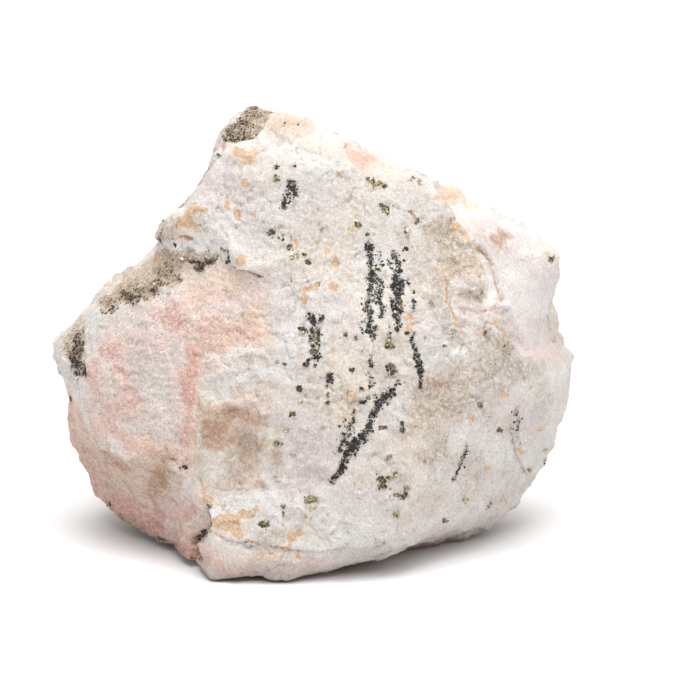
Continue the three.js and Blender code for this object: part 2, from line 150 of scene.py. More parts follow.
def smooth(lo, hi, x):
    t = np.clip((x - lo) / (hi - lo), 0, 1)
    return t * t * (3 - 2 * t)


# ------------------------------------------------------------ mesh utilities ----
def edge_table(v_count, tris):
    e = np.sort(np.concatenate([tris[:, [0, 1]], tris[:, [1, 2]], tris[:, [2, 0]]]), axis=1)
    key, inv = np.unique(e[:, 0] * v_count + e[:, 1], return_inverse=True)
    return np.stack([key // v_count, key % v_count], 1), inv


def normals_of(v, t):
    n = np.cross(v[t[:, 1]] - v[t[:, 0]], v[t[:, 2]] - v[t[:, 0]])
    out = np.stack([sum(np.bincount(t[:, k], n[:, c], len(v)) for k in range(3)) for c in range(3)], 1)
    return out / (np.linalg.norm(out, axis=1)[:, None] + 1e-12)


def split_long(v, t, target):
    """Splits every edge longer than target(mid points), keeping the surface closed."""
    edges, inv = edge_table(len(v), t)
    a, b = v[edges[:, 0]], v[edges[:, 1]]
    mark = np.linalg.norm(a - b, axis=1) > target(edges)
    if not mark.any():
        return v, t, False
    ids = np.full(len(edges), -1)
    ids[mark] = len(v) + np.arange(mark.sum())
    v = np.concatenate([v, ((a + b) / 2)[mark]])
    m = ids[inv].reshape(3, -1).T
    count = (m >= 0).sum(1)
    out = [t[count == 0]]
    k = count == 3
    A, B, C = t[k].T
    p, q, r = m[k].T
    out += [np.stack(x, 1) for x in ((A, p, r), (p, B, q), (r, q, C), (p, q, r))]
    for s in range(3):
        k = (count == 1) & (m[:, s] >= 0)
        A, B, C, p = t[k, s], t[k, (s + 1) % 3], t[k, (s + 2) % 3], m[k, s]
        out += [np.stack((A, p, C), 1), np.stack((p, B, C), 1)]
        k = (count == 2) & (m[:, s] < 0)
        A, B, C = t[k, s], t[k, (s + 1) % 3], t[k, (s + 2) % 3]
        p, q = m[k, (s + 1) % 3], m[k, (s + 2) % 3]
        out.append(np.stack((q, p, C), 1))
        short = np.linalg.norm(v[A] - v[p], axis=1) < np.linalg.norm(v[B] - v[q], axis=1)
        out += [np.stack((A, B, p), 1)[short], np.stack((A, p, q), 1)[short],
                np.stack((A, B, q), 1)[~short], np.stack((B, p, q), 1)[~short]]
    return v, np.concatenate(out), True


def relax(v, t, rounds, strength=0.5, back=-0.52):
    edges, _ = edge_table(len(v), t)
    i, j = edges.T
    deg = np.bincount(i, minlength=len(v)) + np.bincount(j, minlength=len(v))
    for _ in range(rounds):
        for s in (strength, back):
            if s == 0:
                continue
            mean = np.stack([(np.bincount(i, v[j, c], len(v)) + np.bincount(j, v[i, c], len(v))) / deg for c in range(3)], 1)
            v = v + s * (mean - v)
    return v


def spread(x, t, rounds):
    """A per-vertex value averaged over its neighbours."""
    edges, _ = edge_table(len(x), t)
    i, j = edges.T
    deg = np.bincount(i, minlength=len(x)) + np.bincount(j, minlength=len(x))
    for _ in range(rounds):
        x = 0.5 * x + 0.5 * (np.bincount(i, x[j], len(x)) + np.bincount(j, x[i], len(x))) / deg
    return x


# ------------------------------------------------- the rock's surface, in mm ----
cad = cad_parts[NODE]
co = np.zeros(len(cad.data.vertices) * 3, np.float32)
cad.data.vertices.foreach_get("co", co)
co = co.reshape(-1, 3).astype(float) / MM
cad.data.calc_loop_triangles()
tri = np.zeros(len(cad.data.loop_triangles) * 3, np.int32)
cad.data.loop_triangles.foreach_get("vertices", tri)
_, first, weld = np.unique(np.round(co, 3), axis=0, return_index=True, return_inverse=True)
V = co[first]
T = weld.reshape(-1)[tri].reshape(-1, 3).astype(np.int64)
T = T[(T[:, 0] != T[:, 1]) & (T[:, 1] != T[:, 2]) & (T[:, 2] != T[:, 0])]

FINE, COARSE = 0.21, 0.48            # mm, edge lengths in front and behind


def facing(v, n):
    d = v - EYE
    return -(n * d).sum(1) / np.linalg.norm(d, axis=1)


for step, (fine, coarse) in enumerate([(0.9, 1.2), (0.45, 0.8), (FINE, COARSE), (FINE, COARSE), (FINE, COARSE)]):
    N = normals_of(V, T)
    face_v = facing(V, N)

    def target(edges):
        f = face_v[edges].mean(1)
        return fine + (coarse - fine) * smooth(0.12, -0.22, f)

    V, T, more = split_long(V, T, target)
    if step < 3:
        V = relax(V, T, (2, 3, 3)[step])
    if not more:
        break

N = normals_of(V, T)
broad = N.copy()
for c in range(3):
    broad[:, c] = spread(broad[:, c], T, 12)
broad /= np.linalg.norm(broad, axis=1)[:, None]
shown = smooth(-0.02, 0.22, facing(V, broad))   # 1 where the camera's layout applies, 0 behind

# ------------------------------------- layout shapes in the camera's plane, mm ----
ray = V - EYE
depth = ray @ FORWARD
UV = np.stack([ray[:, 0] / depth * DISTANCE, (ray @ UPWARD) / depth * DISTANCE], 1)
WARP = np.stack([fbm(V, 3.0, 71, 3), fbm(V, 3.0, 72, 3)], 1)
FRAY = np.stack([fbm(V, 0.9, 73, 2), fbm(V, 0.9, 74, 2)], 1)


def near_line(q, pts):
    best = np.full(len(q), 1e9)
    for (x1, y1), (x2, y2) in zip(pts[:-1], pts[1:]):
        dx, dy = x2 - x1, y2 - y1
        s = np.clip(((q[:, 0] - x1) * dx + (q[:, 1] - y1) * dy) / (dx * dx + dy * dy + 1e-9), 0, 1)
        best = np.minimum(best, np.hypot(q[:, 0] - x1 - s * dx, q[:, 1] - y1 - s * dy))
    return best


def inside_area(q, pts):
    """Signed distance to a closed outline, positive inside."""
    d = near_line(q, pts + pts[:1])
    odd = np.zeros(len(q), bool)
    for (x1, y1), (x2, y2) in zip(pts, pts[1:] + pts[:1]):
        if y1 == y2:
            continue
        cross = ((y1 > q[:, 1]) != (y2 > q[:, 1])) & (q[:, 0] < (x2 - x1) * (q[:, 1] - y1) / (y2 - y1) + x1)
        odd ^= cross
    return np.where(odd, d, -d)


def lay(shapes, warp=0.35, fray=0.12, wide=1.0, blend=False):
    """A mask from a list of shapes, each (kind, points, size, softness, value). The strongest wins, or they add up softly."""
    out = np.zeros(len(V))
    q = UV + warp * WARP + fray * FRAY
    for kind, pts, size, soft, value in shapes:
        soft = soft * wide
        xs, ys = [p[0] for p in pts], [p[1] for p in pts]
        reach = (max(size) if isinstance(size, (tuple, list)) else size) + soft + 1.0
        k = np.nonzero((q[:, 0] > min(xs) - reach) & (q[:, 0] < max(xs) + reach) & (q[:, 1] > min(ys) - reach) & (q[:, 1] < max(ys) + reach) & (shown > 0))[0]
        if not len(k):
            continue
        p = q[k]
        if kind == "spot":
            (cx, cy), (rx, ry) = pts[0], size
            r = np.hypot((p[:, 0] - cx) / rx, (p[:, 1] - cy) / ry)
            m = smooth(1 + soft / max(rx, ry), 1 - soft / max(rx, ry), r)
        elif kind == "line":
            m = smooth(size + soft, max(size - soft, 0) * 0.5, near_line(p, pts))
        else:
            m = smooth(-soft, soft, inside_area(p, pts))
        if value < 0:
            out[k] = out[k] * (1 + value * m)
        elif blend:
            out[k] = np.maximum(0.5 * out[k] + value * m, np.maximum(out[k], 0.5 * value * m))
        else:
            out[k] = np.maximum(out[k], value * m)
    return out * shown


# Each zone is a list of (kind, points, size, softness, strength) in mm, in the camera's
# plane, from its centre: right and up are positive.
PINK = [
    ("area",[(-13.45,9.98), (-15.73,8.46), (-17.9,7.27), (-20.39,5.86), (-22.78,4.66), (-24.95,3.9), (-26.68,3.04), (-27.98,1.74), (-28.42,0.0), (-28.52,-2.39), (-29.28,-4.56), (-29.28,-6.72), (-28.42,-8.46), (-27.11,-10.09), (-25.6,-11.5), (-23.86,-12.15), (-21.69,-12.58), (-19.31,-13.02), (-17.35,-13.45), (-16.27,-12.15), (-16.7,-9.76), (-17.35,-7.05), (-16.7,-3.8), (-14.97,-1.63), (-12.47,-0.22), (-9.98,0.54), (-8.46,2.71), (-8.03,5.42), (-7.81,7.81), (-9.54,8.89), (-11.5,9.33)],0,0.87,0.3),
    ("spot",[(-17.46,-8.03)],(0.76,1.3),0.54,0.4), ("spot",[(-13.88,6.51)],(4.56,1.41),1.52,0.24), ("spot",[(-14.53,-1.74)],(1.74,0.65),0.54,0.25),
    ("spot",[(-19.31,3.25)],(1.84,1.52),0.87,0.74), ("spot",[(-16.7,4.77)],(1.52,0.76),0.65,0.4), ("spot",[(-12.36,2.17)],(3.25,1.3),1.08,0.5),
    ("spot",[(-15.73,2.17)],(1.95,1.3),0.87,0.5), ("spot",[(-25.7,0.33)],(1.19,0.76),0.54,0.66), ("spot",[(-27.55,-3.69)],(0.98,2.82),0.98,0.5),
    ("spot",[(-10.63,3.04)],(1.74,1.74),1.08,0.2), ("line",[(-25.27,-0.22), (-24.51,-2.39), (-24.08,-5.21), (-23.97,-6.94)],0.488,0.54,0.5),
    ("line",[(-17.25,0.0), (-17.46,-2.39), (-17.46,-5.64)],0.651,0.54,0.95),
    ("line",[(-17.79,-5.86), (-17.68,-8.13), (-18.0,-9.98)],0.597,0.54,0.72), ("spot",[(-23.86,-5.21)],(0.54,1.52),0.43,0.5),
    ("line",[(-27.11,-8.13), (-24.73,-9.44), (-22.23,-10.41), (-20.61,-11.28), (-17.79,-12.15)],0.651,0.76,0.47),
    ("spot",[(-25.81,-5.97)],(1.74,2.17),0.98,0.48), ("spot",[(-14.75,0.43)],(2.39,0.87),0.76,0.5), ("spot",[(-20.61,0.54)],(0.87,0.87),0.65,0.3),
    ("spot",[(-16.27,5.42)],(2.82,1.08),0.87,0.3), ("spot",[(-10.85,0.54)],(2.17,1.08),0.76,0.3), ("spot",[(-21.69,4.88)],(1.52,0.65),0.54,0.3),
    ("area",[(-30.59,-5.86), (-29.5,-7.38), (-28.2,-9.11), (-26.9,-10.63), (-25.6,-11.71), (-24.08,-12.26), (-21.69,-12.8), (-18.98,-13.34), (-17.35,-14.1), (-16.49,-15.73), (-15.73,-17.9), (-15.84,-21.15), (-16.7,-22.99), (-18.66,-22.34), (-20.61,-20.82), (-23.86,-18.87), (-26.68,-17.14), (-27.98,-14.75), (-29.28,-11.93), (-30.8,-9.33)],0,0.65,0.5),
    ("line",[(-30.59,-6.29), (-30.15,-8.68), (-29.5,-10.85)],0.868,0.76,0.66),
    ("line",[(-29.28,-12.15), (-27.98,-14.97), (-26.68,-16.7), (-23.86,-18.44), (-20.82,-20.39), (-18.87,-21.48), (-16.7,-22.34)],1.41,1.3,0.85),
    ("spot",[(-20.07,-18.98)],(3.25,1.95),1.3,0.7), ("spot",[(-24.95,-16.81)],(2.82,1.08),0.87,0.65),
    ("area",[(-18.0,-13.45), (-16.05,-14.32), (-15.62,-17.14), (-16.7,-19.52), (-17.35,-19.52), (-18.0,-16.81)],0,0.65,0.28),
    ("spot",[(-20.07,-17.35)],(2.82,1.74),1.08,0.5), ("line",[(-26.9,-10.74), (-25.81,-11.93), (-24.08,-12.8)],0.488,0.38,0.98),
    ("spot",[(-28.42,-11.71)],(0.38,0.54),0.27,1), ("spot",[(-28.2,-13.56)],(1.08,1.08),0.65,0.6),
    ("area",[(-15.62,-21.26), (-11.93,-21.91), (-7.59,-22.34), (-2.17,-22.56), (-2.17,-23.64), (-5.42,-24.95), (-15.62,-25.38)],0,0.65,0.3),
    ("spot",[(-14.75,-22.34)],(1.3,2.39),0.87,0.3), ("spot",[(-12.8,-23.86)],(2.6,0.87),0.65,0.36), ("spot",[(-1.08,-22.78)],(4.34,0.87),0.65,0.2),
    ("spot",[(-11.61,22.67)],(2.39,0.87),0.54,0.15), ("spot",[(-13.23,22.23)],(1.3,0.87),0.54,0.5),
    ("line",[(0.0,21.8), (0.87,21.26), (1.63,20.61)],0.705,0.54,1.0), ("line",[(2.39,20.28), (4.34,19.52), (6.29,18.76)],0.542,0.43,0.22),
    ("spot",[(-6.51,24.51)],(2.82,1.19),0.65,0.28), ("spot",[(11.39,16.81)],(2.39,0.87),0.54,0.28), ("spot",[(9.76,-21.48)],(1.52,0.87),0.54,0.55),
    ("spot",[(-11.93,4.99)],(1.3,0.87),0.65,0.15), ("spot",[(20.61,0.0)],(2.39,1.08),0.87,0.3), ("spot",[(13.02,15.73)],(2.39,0.43),0.43,0.2),
    ("spot",[(-9.54,-5.42)],(2.82,2.39),1.08,0.25),
]
PEACH = [
    ("spot",[(-14.53,-1.74)],(1.95,0.76),0.54,0.8), ("spot",[(-9.33,4.56)],(1.3,1.08),0.65,0.6), ("spot",[(-14.64,7.38)],(4.99,1.95),1.52,0.58),
    ("spot",[(-9.54,2.6)],(1.3,2.82),0.87,0.62), ("spot",[(-11.28,3.04)],(2.6,1.74),0.98,0.5), ("spot",[(-14.97,0.54)],(2.82,0.87),0.76,0.5),
    ("line",[(0.0,21.48), (1.3,20.82), (2.39,19.74)],0.759,0.65,0.4), ("spot",[(-2.6,21.58)],(2.17,0.87),0.65,0.6),
    ("spot",[(-10.85,21.91)],(1.74,0.76),0.54,0.5), ("line",[(10.2,17.14), (11.5,16.81), (12.58,16.38), (13.67,15.94)],0.597,0.43,1.4),
    ("spot",[(11.28,16.38)],(1.19,0.54),0.33,1.3), ("spot",[(-7.05,24.73)],(2.82,1.3),0.87,0.75), ("spot",[(-5.42,22.99)],(2.17,0.87),0.65,0.4),
    ("spot",[(-11.61,21.15)],(1.41,0.87),0.33,0.95), ("spot",[(-12.8,20.82)],(0.98,0.54),0.33,0.5), ("spot",[(-4.77,24.08)],(1.52,0.87),0.65,0.4),
    ("line",[(2.82,20.17), (5.42,19.31)],0.542,0.54,0.4), ("spot",[(-21.69,-10.63)],(2.39,0.54),0.54,0.5),
    ("spot",[(-17.35,-8.13)],(0.87,2.17),0.65,0.55), ("line",[(-25.16,-8.68), (-23.21,-9.44), (-21.69,-10.41)],0.434,0.43,0.6),
    ("spot",[(-13.23,-7.16)],(3.69,1.52),1.08,0.75), ("spot",[(-14.97,-8.89)],(1.95,1.74),0.76,0.6), ("spot",[(-11.06,-4.56)],(2.17,0.87),0.65,0.35),
    ("spot",[(-9.11,-9.98)],(0.87,1.52),0.65,0.4), ("spot",[(-13.23,-20.17)],(1.3,0.65),0.43,0.8), ("spot",[(-9.11,-22.45)],(2.6,0.65),0.54,0.4),
    ("spot",[(-15.73,-3.8)],(1.3,0.87),0.65,0.35), ("spot",[(-29.93,-7.59)],(0.76,1.95),0.54,0.45),
    ("line",[(-11.93,-0.87), (-9.54,0.0), (-8.03,1.08)],0.434,0.54,0.35), ("spot",[(-15.73,-1.63)],(1.74,0.87),0.65,0.35),
    ("spot",[(-22.78,8.13)],(2.39,1.3),0.87,0.4), ("spot",[(-24.95,7.05)],(1.74,0.87),0.65,0.4), ("spot",[(-9.76,-22.45)],(2.39,0.76),0.54,0.5),
    ("spot",[(-7.05,-20.61)],(1.08,1.3),0.54,0.4), ("spot",[(-17.9,13.56)],(2.17,1.52),0.76,0.5), ("spot",[(-18.44,12.36)],(1.74,0.65),0.43,0.5),
    ("spot",[(-0.54,-4.56)],(2.17,1.52),0.87,0.15), ("spot",[(-9.54,10.3)],(2.17,0.87),0.65,0.2), ("spot",[(-3.25,7.38)],(2.82,1.52),0.98,0.15),
    ("spot",[(-10.85,9.54)],(2.17,0.87),0.65,0.25), ("spot",[(0.43,-4.88)],(1.08,1.08),0.54,0.3), ("spot",[(-0.54,-7.59)],(1.3,1.08),0.54,0.4),
    ("spot",[(-17.14,-11.39)],(1.08,2.39),0.76,0.55), ("spot",[(-15.4,-16.05)],(1.08,1.3),0.54,0.5), ("spot",[(6.94,-6.94)],(1.3,1.08),0.65,0.4),
    ("spot",[(-27.66,-6.51)],(0.87,2.17),0.65,0.25),
]
LILAC = [
    ("spot",[(-13.88,17.9)],(2.6,2.39),1.3,0.75), ("spot",[(-10.63,15.73)],(2.39,2.6),1.3,0.55), ("spot",[(-7.05,16.27)],(2.82,2.6),1.3,0.5),
    ("spot",[(-2.71,15.73)],(2.6,2.82),1.3,0.6), ("spot",[(-1.63,17.35)],(1.95,1.52),0.87,0.6), ("spot",[(-14.64,19.31)],(1.3,1.3),0.87,0.6),
    ("spot",[(-9.54,11.93)],(1.74,1.52),0.98,0.5), ("spot",[(-5.42,7.05)],(1.3,2.17),0.87,0.3), ("spot",[(-14.97,12.15)],(1.08,0.54),0.54,0.4),
    ("spot",[(-3.25,16.27)],(1.3,1.3),0.65,0.4), ("spot",[(-0.54,16.81)],(1.08,3.25),0.87,0.4), ("spot",[(-4.88,-11.93)],(3.25,3.47),1.74,0.95),
    ("spot",[(-5.42,-7.59)],(2.17,3.04),1.3,0.7), ("spot",[(-4.12,-4.34)],(1.52,2.6),0.98,0.6), ("spot",[(-4.34,-14.1)],(1.95,1.08),0.65,1.2),
    ("spot",[(-7.38,-13.02)],(0.65,1.95),0.54,0.6), ("spot",[(-0.54,-13.02)],(1.95,1.52),0.98,0.4), ("spot",[(0.54,2.71)],(1.3,1.3),0.87,0.6),
    ("spot",[(-1.08,4.34)],(1.74,1.74),0.98,0.4), ("spot",[(2.71,0.54)],(0.98,1.52),0.65,0.4), ("spot",[(4.88,-9.33)],(1.52,1.3),0.87,0.6),
    ("spot",[(1.08,-16.27)],(3.69,1.95),1.52,0.4), ("spot",[(-2.17,-18.44)],(3.04,1.52),1.08,0.3), ("spot",[(4.34,-18.44)],(2.6,1.52),0.98,0.35),
    ("area",[(10.85,15.51), (13.02,15.51), (15.18,15.94), (16.81,14.64), (19.52,13.56), (21.69,11.93), (23.43,10.2), (23.43,7.59), (22.34,5.42), (22.99,2.17), (24.95,-0.22), (22.78,-2.39), (19.52,-1.08), (18.0,0.87), (16.92,3.47), (16.05,4.77), (15.94,6.51), (15.51,8.68), (14.75,10.41), (13.67,11.93), (12.58,13.23), (11.5,14.53)],0,0.54,0.48),
    ("spot",[(19.31,9.54)],(1.74,0.98),0.65,0.4), ("spot",[(20.07,5.42)],(2.82,4.34),1.52,0.55), ("spot",[(18.44,9.22)],(3.25,1.3),0.87,0.3),
    ("spot",[(21.15,1.08)],(1.52,3.25),0.87,0.8), ("line",[(13.88,13.45), (16.27,12.8), (21.15,11.93)],0.542,0.54,0.7),
    ("line",[(13.23,13.88), (13.88,12.36), (14.53,11.28)],0.38,0.33,0.9), ("spot",[(16.27,13.56)],(3.25,0.87),0.54,0.3),
    ("line",[(16.59,4.56), (17.25,2.6), (18.44,0.65), (19.74,-0.65)],0.542,0.43,1.3),
    ("line",[(11.71,4.34), (14.1,4.12), (17.14,4.23)],0.488,0.38,0.95),
    ("line",[(14.53,10.85), (15.4,8.89), (15.94,7.05), (15.94,5.64)],0.271,0.27,1.1), ("spot",[(12.36,5.64)],(0.87,0.54),0.33,1.2),
    ("spot",[(12.36,2.82)],(0.54,0.49),0.22,1.5), ("spot",[(16.27,11.93)],(1.08,0.76),0.43,0.8), ("spot",[(-13.56,-1.63)],(2.39,1.74),1.08,0.35),
    ("spot",[(-12.47,-3.8)],(1.74,1.52),0.98,0.4), ("spot",[(-8.68,0.0)],(2.17,1.95),0.98,0.3), ("spot",[(-7.05,5.42)],(1.08,3.25),0.76,0.3),
    ("line",[(-14.97,-22.78), (-11.93,-23.43), (-8.68,-24.08), (-4.34,-23.64)],0.651,0.65,0.45), ("spot",[(9.76,-20.07)],(1.52,1.3),0.65,0.7),
    ("spot",[(-20.82,9.76)],(0.65,1.52),0.43,0.4), ("spot",[(1.63,15.73)],(1.52,1.08),0.65,0.3), ("spot",[(7.59,2.17)],(1.74,2.39),0.98,0.35),
    ("spot",[(-22.78,0.54)],(2.17,1.74),0.98,0.6), ("spot",[(-21.69,-2.17)],(1.95,1.3),0.87,0.5), ("spot",[(-9.22,5.42)],(1.08,1.52),0.65,0.3),
    ("spot",[(2.71,-7.59)],(1.52,1.3),0.65,0.3), ("spot",[(8.68,-16.81)],(1.3,1.52),0.65,0.5), ("spot",[(18.44,-7.59)],(2.6,2.82),1.52,0.6),
    ("spot",[(14.1,-9.76)],(2.17,2.17),1.3,0.4), ("spot",[(16.27,-14.1)],(3.25,1.74),1.3,0.4), ("spot",[(11.39,-16.27)],(2.17,1.74),0.98,0.4),
]
# Grey patches of the stone; one, beside the ledge on the upper left, is painted shade over a lit face.
GREY = [
    ("spot",[(20.61,-9.76)],(1.52,2.6),0.87,0.5), ("spot",[(14.64,-18.44)],(1.95,1.3),0.87,0.5), ("spot",[(-10.85,17.35)],(3.25,2.39),1.08,0.3),
    ("area",[(-23.86,3.04), (-20.61,3.47), (-18.87,1.08), (-18.44,-1.63), (-18.66,-5.42), (-18.44,-9.22), (-19.74,-10.41), (-21.69,-9.33), (-22.99,-7.59), (-23.21,-4.88), (-23.43,-2.17), (-24.08,0.54)],0,0.76,0.88),
    ("spot",[(-27.98,3.04)],(1.52,1.3),0.76,0.7), ("spot",[(-26.03,3.04)],(1.74,0.87),0.54,0.7), ("spot",[(-29.28,3.25)],(1.08,0.87),0.54,0.6),
    ("spot",[(-21.69,2.17)],(2.17,1.3),0.76,0.8), ("spot",[(-16.81,0.0)],(1.74,1.08),0.76,0.3), ("spot",[(7.05,16.81)],(2.82,1.74),0.98,0.7),
    ("spot",[(8.89,14.64)],(1.52,2.6),0.87,0.8), ("spot",[(9.76,16.81)],(1.3,1.3),0.65,0.8), ("spot",[(5.42,16.27)],(2.39,1.3),0.87,0.4),
    ("spot",[(10.52,3.04)],(1.08,1.95),0.65,0.9), ("spot",[(9.76,5.42)],(1.08,2.82),0.65,0.45), ("spot",[(11.06,1.52)],(1.08,0.87),0.43,1),
    ("spot",[(1.63,-2.71)],(1.52,2.39),0.65,0.6), ("spot",[(1.08,-5.42)],(1.52,1.74),0.65,0.6), ("spot",[(2.17,10.3)],(1.52,1.08),0.65,0.3),
    ("spot",[(-10.3,4.34)],(0.87,1.52),0.54,0.2),
    ("area",[(-9.54,18.87), (-2.17,19.31), (5.42,17.79), (9.76,15.73), (9.98,9.54), (5.42,8.03), (-1.63,9.54), (-8.68,9.54), (-10.3,13.56)],0,1.74,0.5),
    ("spot",[(7.48,9.98)],(1.08,4.34),0.87,0.9), ("spot",[(9.33,13.56)],(1.52,1.74),0.76,0.4), ("spot",[(5.42,11.93)],(3.25,4.34),1.52,0.3),
    ("spot",[(-5.42,17.35)],(5.42,2.39),1.3,0.3), ("spot",[(-11.28,11.06)],(1.74,1.3),0.65,0.55), ("spot",[(4.12,16.27)],(2.6,1.52),0.87,0.4),
    ("spot",[(3.58,11.39)],(1.52,1.3),0.87,0.4), ("spot",[(-6.51,14.64)],(2.17,2.6),1.08,0.3), ("spot",[(-20.17,11.93)],(0.65,0.87),0.33,0.8),
    ("spot",[(-8.89,-20.17)],(2.17,0.98),0.54,0.9), ("spot",[(-11.17,-20.07)],(1.3,0.54),0.43,0.5), ("spot",[(-12.8,-15.94)],(1.95,0.65),0.54,0.5),
    ("spot",[(0.54,1.08)],(1.52,0.87),0.54,0.4), ("spot",[(-0.54,0.33)],(0.87,0.87),0.43,0.5), ("spot",[(16.27,-0.65)],(2.39,1.52),0.65,0.6),
    ("spot",[(22.34,2.17)],(0.43,2.39),0.27,0.6), ("spot",[(4.34,15.18)],(2.17,0.65),0.43,0.3), ("spot",[(-7.05,14.97)],(1.3,0.87),0.54,0.3),
    ("spot",[(-31.24,0.0)],(0.87,1.52),0.54,0.4), ("spot",[(-1.63,13.56)],(3.25,1.74),1.08,0.25), ("spot",[(-2.17,-10.3)],(1.08,1.08),0.54,0.4),
    ("spot",[(9.76,-11.39)],(1.3,3.25),0.76,0.3), ("spot",[(-10.85,-18.44)],(1.52,0.87),0.54,0.2),
]
CREAM = [
    ("spot",[(-0.54,-3.25)],(4.56,4.77),1.95,0.75), ("spot",[(5.42,4.88)],(2.82,4.77),1.52,0.45), ("spot",[(4.34,-1.08)],(3.69,3.25),1.52,0.6),
    ("spot",[(-2.17,0.0)],(2.6,1.74),1.08,0.5), ("spot",[(-3.25,9.76)],(4.34,2.82),1.52,0.6), ("spot",[(0.0,13.56)],(4.34,2.17),1.3,0.5),
    ("spot",[(-5.42,11.93)],(2.82,2.17),1.08,0.4), ("spot",[(3.25,-13.02)],(4.77,3.25),1.74,0.4), ("spot",[(7.59,-9.76)],(3.25,3.25),1.3,0.8),
    ("spot",[(1.08,-9.76)],(3.25,1.74),1.08,0.45), ("spot",[(11.39,9.22)],(3.25,5.42),1.3,0.6), ("spot",[(7.59,11.93)],(2.6,3.25),1.08,0.5),
    ("spot",[(8.68,7.05)],(2.17,1.52),0.76,0.7), ("spot",[(13.02,5.42)],(2.17,2.6),0.76,0.5), ("spot",[(-7.59,9.54)],(2.39,1.3),0.76,0.2),
    ("line",[(-27.98,-8.13), (-26.68,-10.85), (-25.16,-13.02), (-22.99,-15.18), (-20.61,-16.27)],0.651,0.54,0.8),
    ("spot",[(-14.1,13.23)],(1.74,0.87),0.65,0.3), ("spot",[(-16.49,14.1)],(1.95,1.3),0.87,0.5), ("spot",[(-10.85,17.9)],(3.25,1.52),0.87,0.2),
    ("spot",[(4.34,17.9)],(3.25,1.52),0.98,0.35), ("spot",[(1.08,18.66)],(2.17,1.08),0.76,0.3), ("spot",[(8.68,-15.73)],(2.17,1.95),0.87,0.5),
    ("spot",[(6.51,-17.35)],(2.17,1.52),0.76,0.4), ("spot",[(-12.47,-7.81)],(5.21,3.9),1.3,0.65), ("spot",[(-11.39,-13.02)],(3.25,2.6),0.98,0.65),
    ("spot",[(-15.18,-13.02)],(1.52,1.95),0.76,0.6), ("spot",[(-8.13,-9.76)],(1.52,3.25),0.76,0.5), ("spot",[(-10.3,-18.98)],(3.25,1.74),0.87,0.3),
    ("spot",[(-5.42,-19.52)],(1.74,2.17),0.76,0.35), ("spot",[(22.23,10.3)],(1.08,1.74),0.43,0.5),
    ("line",[(21.91,4.34), (22.34,2.71), (22.56,0.87)],0.38,0.33,0.9), ("spot",[(18.98,7.05)],(1.74,0.65),0.43,0.35),
    ("spot",[(14.86,3.8)],(2.17,0.65),0.43,0.4), ("spot",[(-7.59,25.81)],(2.17,0.65),0.43,0.4), ("spot",[(7.59,18.44)],(1.52,0.65),0.43,0.5),
    ("spot",[(-27.66,5.42)],(1.52,1.52),0.65,0.5), ("spot",[(-24.95,7.05)],(2.17,1.3),0.65,0.6), ("spot",[(-30.91,0.54)],(1.08,1.3),0.43,0.6),
    ("spot",[(-31.24,-1.95)],(0.87,1.74),0.43,0.6), ("spot",[(21.15,-0.87)],(2.6,0.87),0.54,0.3), ("spot",[(0.54,7.05)],(2.17,2.17),0.98,0.4),
    ("spot",[(1.08,5.42)],(1.3,3.25),0.76,0.35),
]
